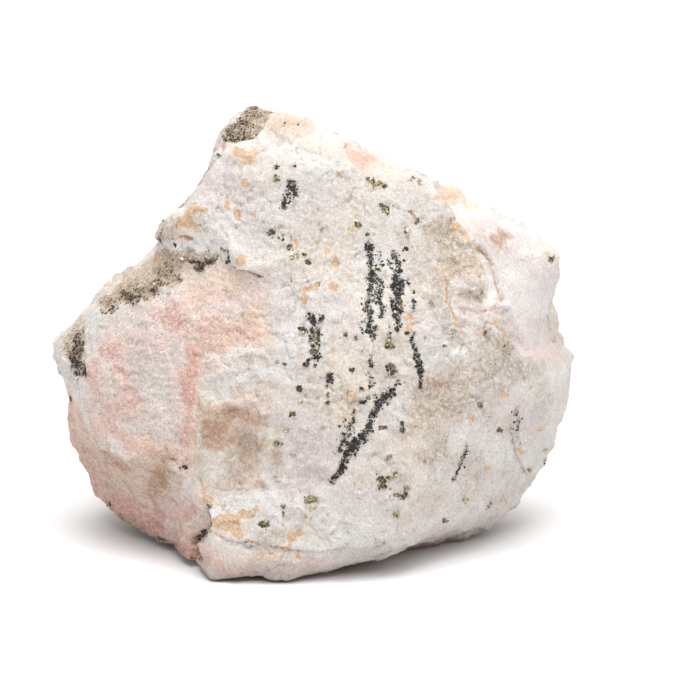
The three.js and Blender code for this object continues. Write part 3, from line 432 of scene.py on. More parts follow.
# Tan and crumbly patches; the big ones at the lower right are partly painted shade.
TAN = [
    ("spot",[(10.63,12.58)],(1.52,1.74),0.76,0.85), ("spot",[(11.93,9.54)],(1.95,1.95),0.76,0.85), ("spot",[(11.71,12.8)],(0.76,1.08),0.43,0.5),
    ("spot",[(9.76,8.13)],(1.52,0.98),0.54,0.7), ("spot",[(12.58,6.72)],(1.74,1.74),0.76,0.5), ("spot",[(13.88,6.29)],(0.65,1.52),0.43,0.8),
    ("spot",[(9.33,13.23)],(1.3,0.87),0.54,0.6), ("spot",[(8.68,11.39)],(0.87,1.95),0.54,0.35),
    ("line",[(6.94,14.75), (8.03,12.8), (8.46,11.28)],0.271,0.27,0.55), ("spot",[(11.61,13.23)],(0.65,0.87),0.33,0.9),
    ("spot",[(9.76,-5.21)],(3.69,2.6),1.08,0.8), ("spot",[(7.05,-7.16)],(1.3,1.08),0.65,0.4), ("spot",[(5.97,-8.13)],(2.17,1.74),1.08,0.4),
    ("spot",[(11.06,-4.56)],(3.25,1.95),0.98,0.7), ("spot",[(13.02,-2.39)],(3.9,1.3),0.76,0.5), ("spot",[(9.76,-6.72)],(2.17,1.52),0.87,0.6),
    ("spot",[(8.46,-3.9)],(1.08,2.39),0.65,0.4), ("line",[(10.3,-3.04), (11.93,-3.69), (14.1,-3.25), (16.05,-2.17)],0.434,0.43,0.8),
    ("spot",[(15.4,-0.22)],(2.17,1.3),0.54,0.55), ("spot",[(16.27,1.3)],(1.52,1.08),0.54,0.6), ("spot",[(14.64,1.84)],(1.08,0.87),0.43,0.6),
    ("line",[(10.63,1.95), (13.02,0.0), (16.27,-0.87), (18.44,-1.3)],0.542,0.54,0.4), ("spot",[(9.22,-9.76)],(1.08,2.82),0.65,0.4),
    ("spot",[(8.13,-11.93)],(1.08,1.08),0.54,0.6), ("spot",[(-6.72,24.73)],(2.6,1.08),0.65,0.26), ("spot",[(-8.46,-20.39)],(1.52,0.65),0.43,0.35),
    ("spot",[(-6.72,-22.34)],(1.52,0.54),0.43,0.35), ("spot",[(-22.56,8.03)],(3.04,1.08),0.76,0.72), ("spot",[(-20.07,9.54)],(1.74,1.3),0.65,0.6),
    ("spot",[(-24.4,6.94)],(1.3,0.87),0.54,0.6), ("spot",[(-26.03,5.86)],(1.08,0.65),0.43,0.6), ("spot",[(-21.69,6.51)],(1.3,0.87),0.54,0.6),
    ("area",[(-20.93,10.52), (-20.39,10.85), (-17.9,10.85), (-15.73,10.74), (-14.21,10.3), (-14.21,9.98), (-14.97,9.54), (-15.51,8.89), (-16.27,8.46), (-17.03,8.89), (-17.79,8.89), (-18.11,8.03), (-18.33,7.38), (-19.31,6.83), (-20.61,6.4), (-21.15,5.64), (-22.67,5.42), (-23.1,4.77), (-24.08,5.1), (-25.27,6.18), (-24.73,6.83), (-23.32,7.59), (-22.02,8.68), (-21.48,9.54)],0,0.43,0.95),
    ("area",[(-14.1,22.99), (-13.67,23.54), (-13.02,24.51), (-11.93,25.49), (-10.85,26.36), (-10.2,26.79), (-9.54,26.36), (-8.46,25.81), (-9.11,24.84), (-9.87,23.75), (-10.41,22.99), (-11.93,22.72)],0,0.27,0.8),
    ("line",[(-21.69,9.54), (-23.32,8.03), (-24.95,6.51), (-26.46,5.21)],0.759,0.54,0.8), ("spot",[(-9.98,25.16)],(1.08,1.08),0.54,0.7),
    ("spot",[(-30.15,0.54)],(1.08,1.95),0.65,0.45), ("spot",[(-29.39,1.08)],(0.87,2.39),0.54,0.7),
    ("line",[(0.0,-12.8), (0.43,-14.53)],0.163,0.22,0.4), ("spot",[(-7.05,-16.81)],(0.43,0.43),0.22,0.5),
    ("line",[(-26.68,-16.92), (-24.95,-18.33), (-23.43,-18.98), (-21.04,-20.5), (-18.66,-21.69)],0.38,0.33,0.85),
    ("line",[(-28.63,-13.45), (-27.55,-16.05), (-26.68,-16.92)],0.271,0.27,0.5), ("spot",[(17.35,-1.95)],(3.9,1.3),0.87,0.55),
    ("spot",[(14.1,-4.88)],(3.25,2.39),1.3,0.5), ("spot",[(16.81,-8.68)],(1.74,1.3),0.87,0.4), ("spot",[(13.02,-13.02)],(1.95,2.82),1.08,0.35),
    ("spot",[(20.61,-5.42)],(1.08,2.17),0.87,0.3), ("spot",[(15.73,-16.27)],(1.52,0.87),0.65,0.35), ("spot",[(2.82,18.22)],(1.3,0.76),0.43,0.4),
    ("spot",[(5.42,-13.67)],(1.08,0.87),0.43,0.5), ("spot",[(6.07,11.61)],(1.52,1.08),0.54,0.3), ("spot",[(16.49,3.25)],(1.08,1.08),0.54,0.35),
    ("spot",[(3.58,15.51)],(0.87,0.87),0.43,0.5), ("spot",[(0.65,13.23)],(0.65,0.54),0.33,0.4), ("spot",[(9.76,5.42)],(0.54,2.17),0.33,0.3),
    ("spot",[(4.34,1.08)],(0.87,0.65),0.43,0.4), ("spot",[(-5.42,-18.44)],(0.43,0.43),0.33,0.4),
]
BEIGE = [
    ("area",[(-28.85,-8.89), (-27.33,-10.2), (-26.25,-11.71), (-23.86,-13.02), (-21.69,-13.67), (-19.31,-13.88), (-18.0,-14.75), (-18.44,-16.27), (-20.61,-16.59), (-23.86,-15.4), (-26.25,-14.32), (-27.55,-12.58), (-28.63,-10.85)],0,0.87,0.66),
    ("spot",[(-20.61,-14.1)],(1.84,2.6),0.76,0.6), ("spot",[(-27.33,-11.39)],(1.3,1.95),0.65,0.7), ("spot",[(-24.4,-14.64)],(2.82,1.08),0.76,0.6),
    ("spot",[(-29.5,-9.76)],(0.87,1.52),0.54,0.4), ("spot",[(-21.69,-16.27)],(2.17,0.87),0.65,0.5), ("spot",[(-16.27,-11.06)],(0.87,1.95),0.54,0.5),
    ("spot",[(-12.8,-11.06)],(1.08,1.95),0.65,0.6), ("spot",[(-8.46,-9.76)],(1.08,2.17),0.54,0.5), ("spot",[(-20.82,-11.71)],(1.52,0.76),0.54,0.6),
]
BROWN = [
    ("spot",[(-14.53,-8.89)],(1.63,1.3),0.65,1.25), ("spot",[(-15.62,-7.59)],(1.08,0.76),0.65,0.5), ("spot",[(-13.67,-9.76)],(2.6,1.08),0.76,0.8),
    ("spot",[(-12.15,-7.38)],(2.17,0.87),0.98,1.05), ("spot",[(-16.27,-5.64)],(1.08,1.3),0.87,0.2), ("spot",[(-22.56,-11.82)],(2.39,0.65),0.43,0.5),
    ("line",[(-13.88,-7.59), (-11.93,-6.72), (-9.54,-7.59)],0.597,0.54,0.7), ("spot",[(-11.28,-8.03)],(1.08,0.87),0.54,0.75),
    ("spot",[(-9.54,-6.72)],(1.3,0.76),0.43,0.2), ("spot",[(-8.89,-4.12)],(1.74,1.08),0.65,0.3),
    ("line",[(-12.15,-10.41), (-11.71,-9.65), (-11.06,-9.33), (-10.2,-9.65), (-9.65,-11.06)],0.217,0.22,1.15),
    ("spot",[(-10.63,-11.71)],(0.87,1.63),0.54,0.75), ("spot",[(-9.98,-12.36)],(0.87,0.98),0.54,0.6), ("spot",[(-9.11,-10.2)],(0.65,1.3),0.54,0.5),
    ("spot",[(-11.93,-13.45)],(1.95,1.52),0.76,0.5), ("spot",[(-9.98,-14.75)],(1.3,0.87),0.54,0.7), ("spot",[(-13.23,-14.53)],(1.08,0.87),0.54,0.6),
    ("spot",[(-8.68,-11.39)],(0.65,1.95),0.43,0.35), ("spot",[(-7.81,-12.58)],(0.43,1.74),0.33,0.3), ("spot",[(-14.32,-15.4)],(0.87,0.87),0.43,0.5),
    ("spot",[(16.49,12.04)],(1.19,0.87),0.43,1.0), ("spot",[(15.73,11.39)],(0.65,0.65),0.33,0.5), ("spot",[(-20.5,-14.43)],(1.19,2.6),0.54,1.05),
    ("spot",[(-21.04,-13.02)],(0.98,0.98),0.43,0.4), ("spot",[(-22.99,-11.93)],(1.52,0.76),0.65,0.6),
    ("spot",[(-21.69,-12.58)],(2.82,0.65),0.54,0.3), ("line",[(-27.55,-9.76), (-25.81,-11.5), (-23.86,-12.8)],0.271,0.33,0.45),
    ("spot",[(-20.82,-11.93)],(1.74,0.76),0.54,0.4), ("spot",[(-21.48,-11.71)],(0.65,0.33),0.33,0.6),
    ("line",[(-26.68,-10.95), (-25.38,-12.15), (-24.08,-12.91)],0.271,0.33,0.7), ("spot",[(-18.87,-15.94)],(1.3,0.87),0.65,0.3),
    ("spot",[(7.05,-3.25)],(1.08,0.87),0.54,0.2), ("spot",[(-26.03,-12.15)],(0.54,0.43),0.33,0.5),
    ("line",[(-16.27,-6.07), (-14.75,-6.94), (-12.8,-6.51)],0.163,0.22,0.6), ("line",[(11.5,13.88), (11.06,12.8)],0.271,0.27,0.6),
    ("line",[(13.99,11.61), (14.86,10.41), (15.51,8.89), (15.94,7.16), (16.05,5.64), (15.4,4.88)],0.125,0.11,1.1),
    ("line",[(12.15,4.01), (14.1,4.12), (16.27,4.23)],0.108,0.15,0.5), ("line",[(13.88,13.45), (14.53,12.15)],0.163,0.22,0.4),
    ("spot",[(8.68,-3.9)],(2.39,0.43),0.33,0.5), ("line",[(7.59,-2.39), (9.76,-3.47), (13.02,-2.39)],0.217,0.27,0.4),
    ("line",[(-20.61,10.95), (-18.66,9.54), (-20.61,6.94)],0.542,0.54,0.3),
]
OCHRE = [
    ("spot",[(13.02,-7.59)],(0.43,0.65),0.22,0.8), ("spot",[(16.81,-4.88)],(0.65,0.43),0.22,0.75), ("spot",[(18.44,-10.85)],(0.33,0.54),0.22,0.8),
    ("spot",[(14.97,-13.02)],(0.54,0.33),0.22,0.7), ("spot",[(20.61,-8.68)],(0.43,0.33),0.22,0.7), ("spot",[(11.39,-14.1)],(0.33,0.54),0.22,0.7),
    ("spot",[(13.56,-19.52)],(0.65,0.33),0.22,0.7), ("line",[(16.27,-16.27), (17.57,-17.14), (18.44,-18.44)],0.163,0.17,0.7),
    ("spot",[(21.69,-14.1)],(0.33,0.43),0.22,0.7), ("spot",[(19.52,-4.12)],(0.33,0.33),0.22,0.6), ("spot",[(12.04,-9.76)],(0.33,0.33),0.22,0.6),
    ("spot",[(-11.28,18.22)],(0.49,0.39),0.22,0.9), ("spot",[(-13.34,15.94)],(0.33,0.87),0.22,0.85), ("spot",[(-12.47,15.18)],(0.54,0.43),0.22,0.7),
    ("spot",[(-11.93,14.53)],(0.54,0.54),0.22,0.8), ("spot",[(-12.36,13.88)],(0.33,0.54),0.22,0.6), ("spot",[(-16.81,15.4)],(1.08,0.43),0.22,0.85),
    ("spot",[(-17.35,14.86)],(0.43,0.65),0.22,0.8), ("spot",[(-15.62,15.29)],(0.33,0.33),0.22,0.8), ("spot",[(-17.79,14.1)],(0.98,0.65),0.33,0.62),
    ("spot",[(-17.14,13.45)],(0.87,0.43),0.33,0.6), ("spot",[(-18.44,13.56)],(0.54,0.43),0.22,0.6), ("spot",[(-15.08,13.23)],(0.43,0.22),0.22,0.7),
    ("spot",[(-15.84,12.91)],(0.43,0.33),0.22,0.5), ("spot",[(-11.61,21.15)],(1.19,0.54),0.33,0.62), ("spot",[(-10.63,20.61)],(0.65,0.43),0.22,0.6),
    ("spot",[(-10.09,21.48)],(0.65,0.54),0.33,0.6), ("spot",[(-12.26,21.69)],(0.54,0.43),0.27,0.5), ("spot",[(-11.61,9.76)],(0.52,0.48),0.17,0.95),
    ("spot",[(-5.75,11.39)],(0.33,0.54),0.22,0.85), ("spot",[(-5.86,11.93)],(0.43,0.33),0.22,0.7), ("spot",[(-2.6,10.63)],(0.26,0.49),0.17,0.85),
    ("spot",[(-1.52,9.65)],(0.41,0.81),0.22,0.85), ("spot",[(-1.63,6.83)],(0.65,0.54),0.22,0.88), ("spot",[(-2.17,7.92)],(0.24,0.33),0.15,0.85),
    ("spot",[(-4.12,6.62)],(0.87,0.33),0.22,0.8), ("spot",[(-4.77,5.42)],(0.37,0.65),0.22,0.8), ("spot",[(-4.99,6.4)],(0.43,0.43),0.22,0.7),
    ("spot",[(-1.3,19.31)],(0.26,0.39),0.15,0.9), ("spot",[(-0.33,17.03)],(0.22,0.33),0.15,0.7), ("spot",[(1.19,16.81)],(0.22,0.37),0.15,0.8),
    ("spot",[(0.43,15.62)],(0.43,0.22),0.17,0.75), ("spot",[(0.11,13.12)],(0.65,0.33),0.22,0.8), ("spot",[(-3.58,11.61)],(0.33,0.26),0.17,0.75),
    ("spot",[(-3.25,7.38)],(0.54,0.33),0.22,0.4), ("spot",[(6.51,3.15)],(0.43,0.65),0.22,0.75), ("spot",[(6.29,2.17)],(0.43,0.43),0.22,0.8),
    ("spot",[(1.19,-0.33)],(0.54,0.33),0.22,0.6), ("spot",[(-1.84,-0.22)],(0.28,0.87),0.22,0.7), ("spot",[(-2.06,-1.74)],(0.22,0.54),0.22,0.5),
    ("spot",[(0.22,-4.77)],(0.54,0.65),0.26,0.7), ("spot",[(-0.54,-7.48)],(0.43,0.54),0.22,0.65), ("spot",[(-2.06,-6.62)],(0.26,0.33),0.17,0.6),
    ("spot",[(0.33,-14.53)],(0.43,0.26),0.17,0.8), ("spot",[(-0.43,-14.1)],(0.43,0.22),0.17,0.6), ("spot",[(-13.23,-18.76)],(1.52,0.98),0.26,0.97),
    ("spot",[(-14.32,-18.87)],(0.87,0.76),0.33,0.75), ("spot",[(-12.15,-19.85)],(0.76,0.54),0.22,0.95),
    ("spot",[(-14.53,-19.09)],(0.65,0.65),0.22,0.6), ("spot",[(-11.17,-17.68)],(1.08,0.43),0.22,0.8),
    ("spot",[(-12.36,-18.33)],(0.87,0.43),0.22,0.8), ("spot",[(-10.2,-17.14)],(0.43,0.33),0.22,0.7),
    ("line",[(-11.5,-20.61), (-10.63,-20.82), (-9.54,-20.72)],0.13,0.13,0.85),
    ("line",[(-8.89,-21.15), (-7.59,-21.58), (-6.51,-21.48)],0.13,0.13,0.85), ("spot",[(-6.29,-20.39)],(0.54,0.76),0.26,0.85),
    ("spot",[(-5.64,-19.85)],(0.43,0.54),0.22,0.8), ("spot",[(-6.72,-21.48)],(0.54,0.33),0.22,0.8), ("spot",[(-4.77,-18.0)],(0.39,0.33),0.15,0.95),
    ("spot",[(-4.01,-17.14)],(0.49,0.26),0.15,0.9), ("spot",[(-3.47,-17.9)],(0.33,0.22),0.15,0.7), ("spot",[(-2.39,-17.79)],(0.28,0.28),0.15,0.8),
    ("spot",[(-5.42,-22.45)],(0.33,0.33),0.15,0.75), ("spot",[(-5.42,-21.91)],(0.22,0.43),0.15,0.6),
    ("line",[(-19.52,11.82), (-18.76,12.04), (-18.0,12.36), (-17.57,12.15), (-17.14,12.15)],0.108,0.11,0.95),
    ("line",[(11.39,14.32), (12.15,13.02), (12.69,12.15), (13.12,11.06), (13.67,9.76), (14.53,8.35)],0.249,0.17,1.35),
    ("spot",[(11.61,13.34)],(0.38,0.65),0.22,0.7), ("spot",[(12.69,12.36)],(0.27,0.43),0.17,0.95),
    ("line",[(14.53,8.35), (14.43,7.16), (14.1,5.86)],0.163,0.17,0.9),
    ("line",[(10.09,8.68), (10.41,7.81), (10.41,5.42), (10.85,4.12), (11.5,3.04), (12.15,1.95)],0.163,0.17,0.95),
    ("line",[(15.08,3.15), (15.62,2.71), (16.27,2.17), (17.14,1.3)],0.163,0.17,0.85), ("spot",[(15.94,3.25)],(0.33,0.33),0.15,0.9),
    ("spot",[(10.2,8.57)],(0.33,0.26),0.17,0.8), ("spot",[(14.53,5.21)],(0.43,0.22),0.17,0.6), ("spot",[(-10.63,-5.86)],(0.54,0.22),0.22,0.5),
    ("spot",[(-12.36,-4.12)],(0.87,0.43),0.33,0.55), ("spot",[(-13.02,-4.77)],(0.43,0.33),0.22,0.5),
    ("line",[(-16.49,-13.88), (-15.84,-15.18), (-15.18,-16.27)],0.217,0.22,0.7), ("spot",[(-15.4,-16.59)],(0.65,0.33),0.22,0.7),
    ("spot",[(-13.88,-16.81)],(0.87,0.33),0.22,0.5), ("spot",[(-9.98,0.0)],(0.33,0.22),0.22,0.3), ("spot",[(11.06,16.59)],(0.87,0.37),0.26,0.6),
    ("spot",[(7.16,16.27)],(0.33,0.87),0.22,0.5), ("spot",[(-21.04,9.98)],(0.33,0.54),0.22,0.7), ("spot",[(-22.99,7.38)],(0.54,0.43),0.26,0.4),
    ("spot",[(13.88,8.24)],(0.43,0.65),0.22,0.5), ("spot",[(0.65,6.29)],(0.43,0.65),0.22,0.35), ("spot",[(-9.54,-22.23)],(0.98,0.43),0.33,0.4),
    ("spot",[(0.22,14.75)],(0.33,0.22),0.17,0.5), ("spot",[(-10.2,14.32)],(0.33,0.22),0.17,0.6), ("spot",[(3.9,12.8)],(0.22,0.22),0.15,0.6),
    ("spot",[(5.97,3.47)],(0.22,0.43),0.15,0.8), ("spot",[(1.74,-4.56)],(0.33,0.33),0.17,0.4), ("spot",[(-8.03,-4.88)],(0.43,0.65),0.22,0.3),
    ("spot",[(3.58,11.61)],(0.33,0.33),0.17,0.5), ("spot",[(1.3,15.62)],(0.22,0.22),0.15,0.6), ("spot",[(0.0,18.0)],(0.17,0.22),0.13,0.6),
    ("spot",[(-3.69,9.98)],(0.22,0.22),0.13,0.6), ("spot",[(-4.99,4.77)],(0.33,0.33),0.15,0.6), ("spot",[(-2.82,8.68)],(0.22,0.22),0.13,0.7),
]
# White patches of the stone; a few of them, on the upper left of the front, are painted light laid over shade.
WHITE = [
    ("spot",[(16.27,-10.85)],(2.17,1.74),0.87,0.5), ("spot",[(11.93,-8.68)],(1.08,1.74),0.65,0.5), ("spot",[(18.44,-17.35)],(2.6,1.3),0.87,0.5),
    ("spot",[(13.02,-21.15)],(2.17,1.08),0.76,0.4), ("spot",[(-13.45,-5.42)],(2.17,0.76),0.65,0.5), ("spot",[(-14.97,13.02)],(1.74,1.63),0.76,0.75),
    ("spot",[(-17.35,11.93)],(1.3,0.54),0.43,0.4),
    ("line",[(-13.88,21.26), (-11.93,22.13), (-9.54,22.34), (-7.59,21.48), (-5.42,20.82)],0.759,0.65,0.5),
    ("spot",[(-5.42,20.61)],(2.17,0.76),0.65,0.2),
    ("line",[(-13.88,-16.27), (-11.39,-16.92), (-8.46,-17.14), (-5.21,-16.92), (-2.17,-17.14)],0.976,0.87,0.5),
    ("spot",[(-8.13,-18.22)],(2.82,1.3),0.87,0.5), ("spot",[(-11.39,-16.81)],(1.52,0.87),0.54,0.8), ("spot",[(-2.17,-17.9)],(2.17,1.52),0.87,0.7),
    ("spot",[(-3.25,-21.15)],(2.39,1.08),0.76,0.6), ("spot",[(1.08,-19.52)],(3.25,1.52),0.98,0.5),
    ("line",[(11.5,15.4), (14.1,14.97), (16.81,14.1), (20.07,12.8)],0.597,0.43,0.5),
    ("line",[(13.02,11.06), (14.1,9.54), (14.86,7.81), (14.97,5.86)],0.488,0.33,1),
    ("line",[(11.06,7.16), (12.58,6.94), (13.67,7.38)],0.325,0.33,0.6),
    ("line",[(-20.61,11.17), (-19.09,11.5), (-17.57,11.61), (-16.27,11.28), (-14.64,11.17)],0.38,0.27,1.1),
    ("spot",[(-14.53,11.5)],(1.3,0.54),0.43,0.5), ("spot",[(-10.3,9.98)],(1.52,0.65),0.54,0.3),
    ("line",[(-15.18,-1.63), (-12.47,-0.76), (-9.54,-0.22)],0.38,0.33,0.5), ("spot",[(-12.8,-2.39)],(1.74,0.87),0.54,0.5),
    ("line",[(-15.73,-3.04), (-13.56,-2.6)],0.217,0.22,0.7), ("spot",[(-7.05,-0.54)],(1.3,3.25),0.76,0.4),
    ("spot",[(-6.07,3.25)],(0.87,3.25),0.54,0.4), ("spot",[(-8.68,-15.73)],(2.17,0.87),0.43,0.9), ("spot",[(-21.15,-3.8)],(1.52,2.17),0.76,0.45),
    ("spot",[(-20.61,-7.59)],(1.3,1.52),0.65,0.5), ("spot",[(19.52,2.17)],(0.87,0.87),0.43,0.1), ("spot",[(17.57,6.51)],(1.08,2.17),0.76,0.35),
    ("spot",[(17.14,3.8)],(0.87,0.54),0.33,0.4), ("spot",[(-16.27,-9.22)],(0.43,1.3),0.33,0.5), ("spot",[(-15.73,-11.39)],(0.54,1.52),0.43,0.4),
    ("spot",[(-11.93,0.0)],(2.6,0.65),0.43,0.4), ("spot",[(3.58,14.64)],(1.3,0.65),0.43,0.4), ("spot",[(7.05,12.47)],(0.65,1.3),0.43,0.5),
    ("spot",[(-27.77,4.34)],(0.87,0.87),0.43,0.4), ("spot",[(-31.24,-1.3)],(0.54,1.08),0.33,0.7), ("spot",[(-30.8,-3.04)],(0.43,0.87),0.33,0.8),
    ("spot",[(-29.28,-5.42)],(0.54,1.08),0.33,0.8), ("spot",[(-28.52,-7.38)],(0.33,0.65),0.27,0.6), ("spot",[(-17.03,-18.66)],(0.76,0.37),0.22,0.8),
    ("spot",[(-9.54,-7.38)],(0.54,0.87),0.43,0.3), ("spot",[(-12.36,-12.15)],(0.87,0.54),0.43,0.5),
    ("line",[(-8.89,-8.68), (-8.68,-10.85), (-9.33,-13.88)],0.271,0.33,0.6), ("spot",[(-3.47,20.61)],(1.52,0.65),0.43,0.5),
    ("spot",[(-19.41,-19.31)],(0.87,1.52),0.65,0.5), ("spot",[(-19.41,-16.59)],(1.3,1.3),0.65,0.35), ("spot",[(19.31,5.97)],(1.52,1.74),0.87,0.75),
    ("spot",[(-7.38,6.29)],(1.52,1.3),0.65,0.5), ("spot",[(-17.68,-14.75)],(0.76,1.41),0.43,0.6), ("spot",[(-16.59,-16.16)],(0.54,0.87),0.43,0.45),
    ("spot",[(-26.46,-10.41)],(1.19,0.65),0.43,0.5), ("spot",[(-24.08,-11.06)],(1.3,0.43),0.33,0.4), ("spot",[(5.21,8.89)],(1.08,1.52),0.65,0.4),
    ("spot",[(-17.35,11.93)],(1.3,0.76),0.43,0.6), ("spot",[(5.21,-7.59)],(0.98,1.08),0.54,0.5), ("spot",[(-26.68,-4.77)],(1.3,1.3),0.65,0.45),
    ("spot",[(-13.12,-3.69)],(1.3,0.87),0.54,0.4), ("spot",[(-9.0,-7.7)],(0.87,0.87),0.54,0.4), ("spot",[(-7.05,-11.93)],(0.76,0.87),0.54,0.5),
    ("spot",[(21.58,5.42)],(0.76,2.39),0.54,0.6), ("spot",[(-8.03,-18.44)],(1.74,1.08),0.54,0.4),
]
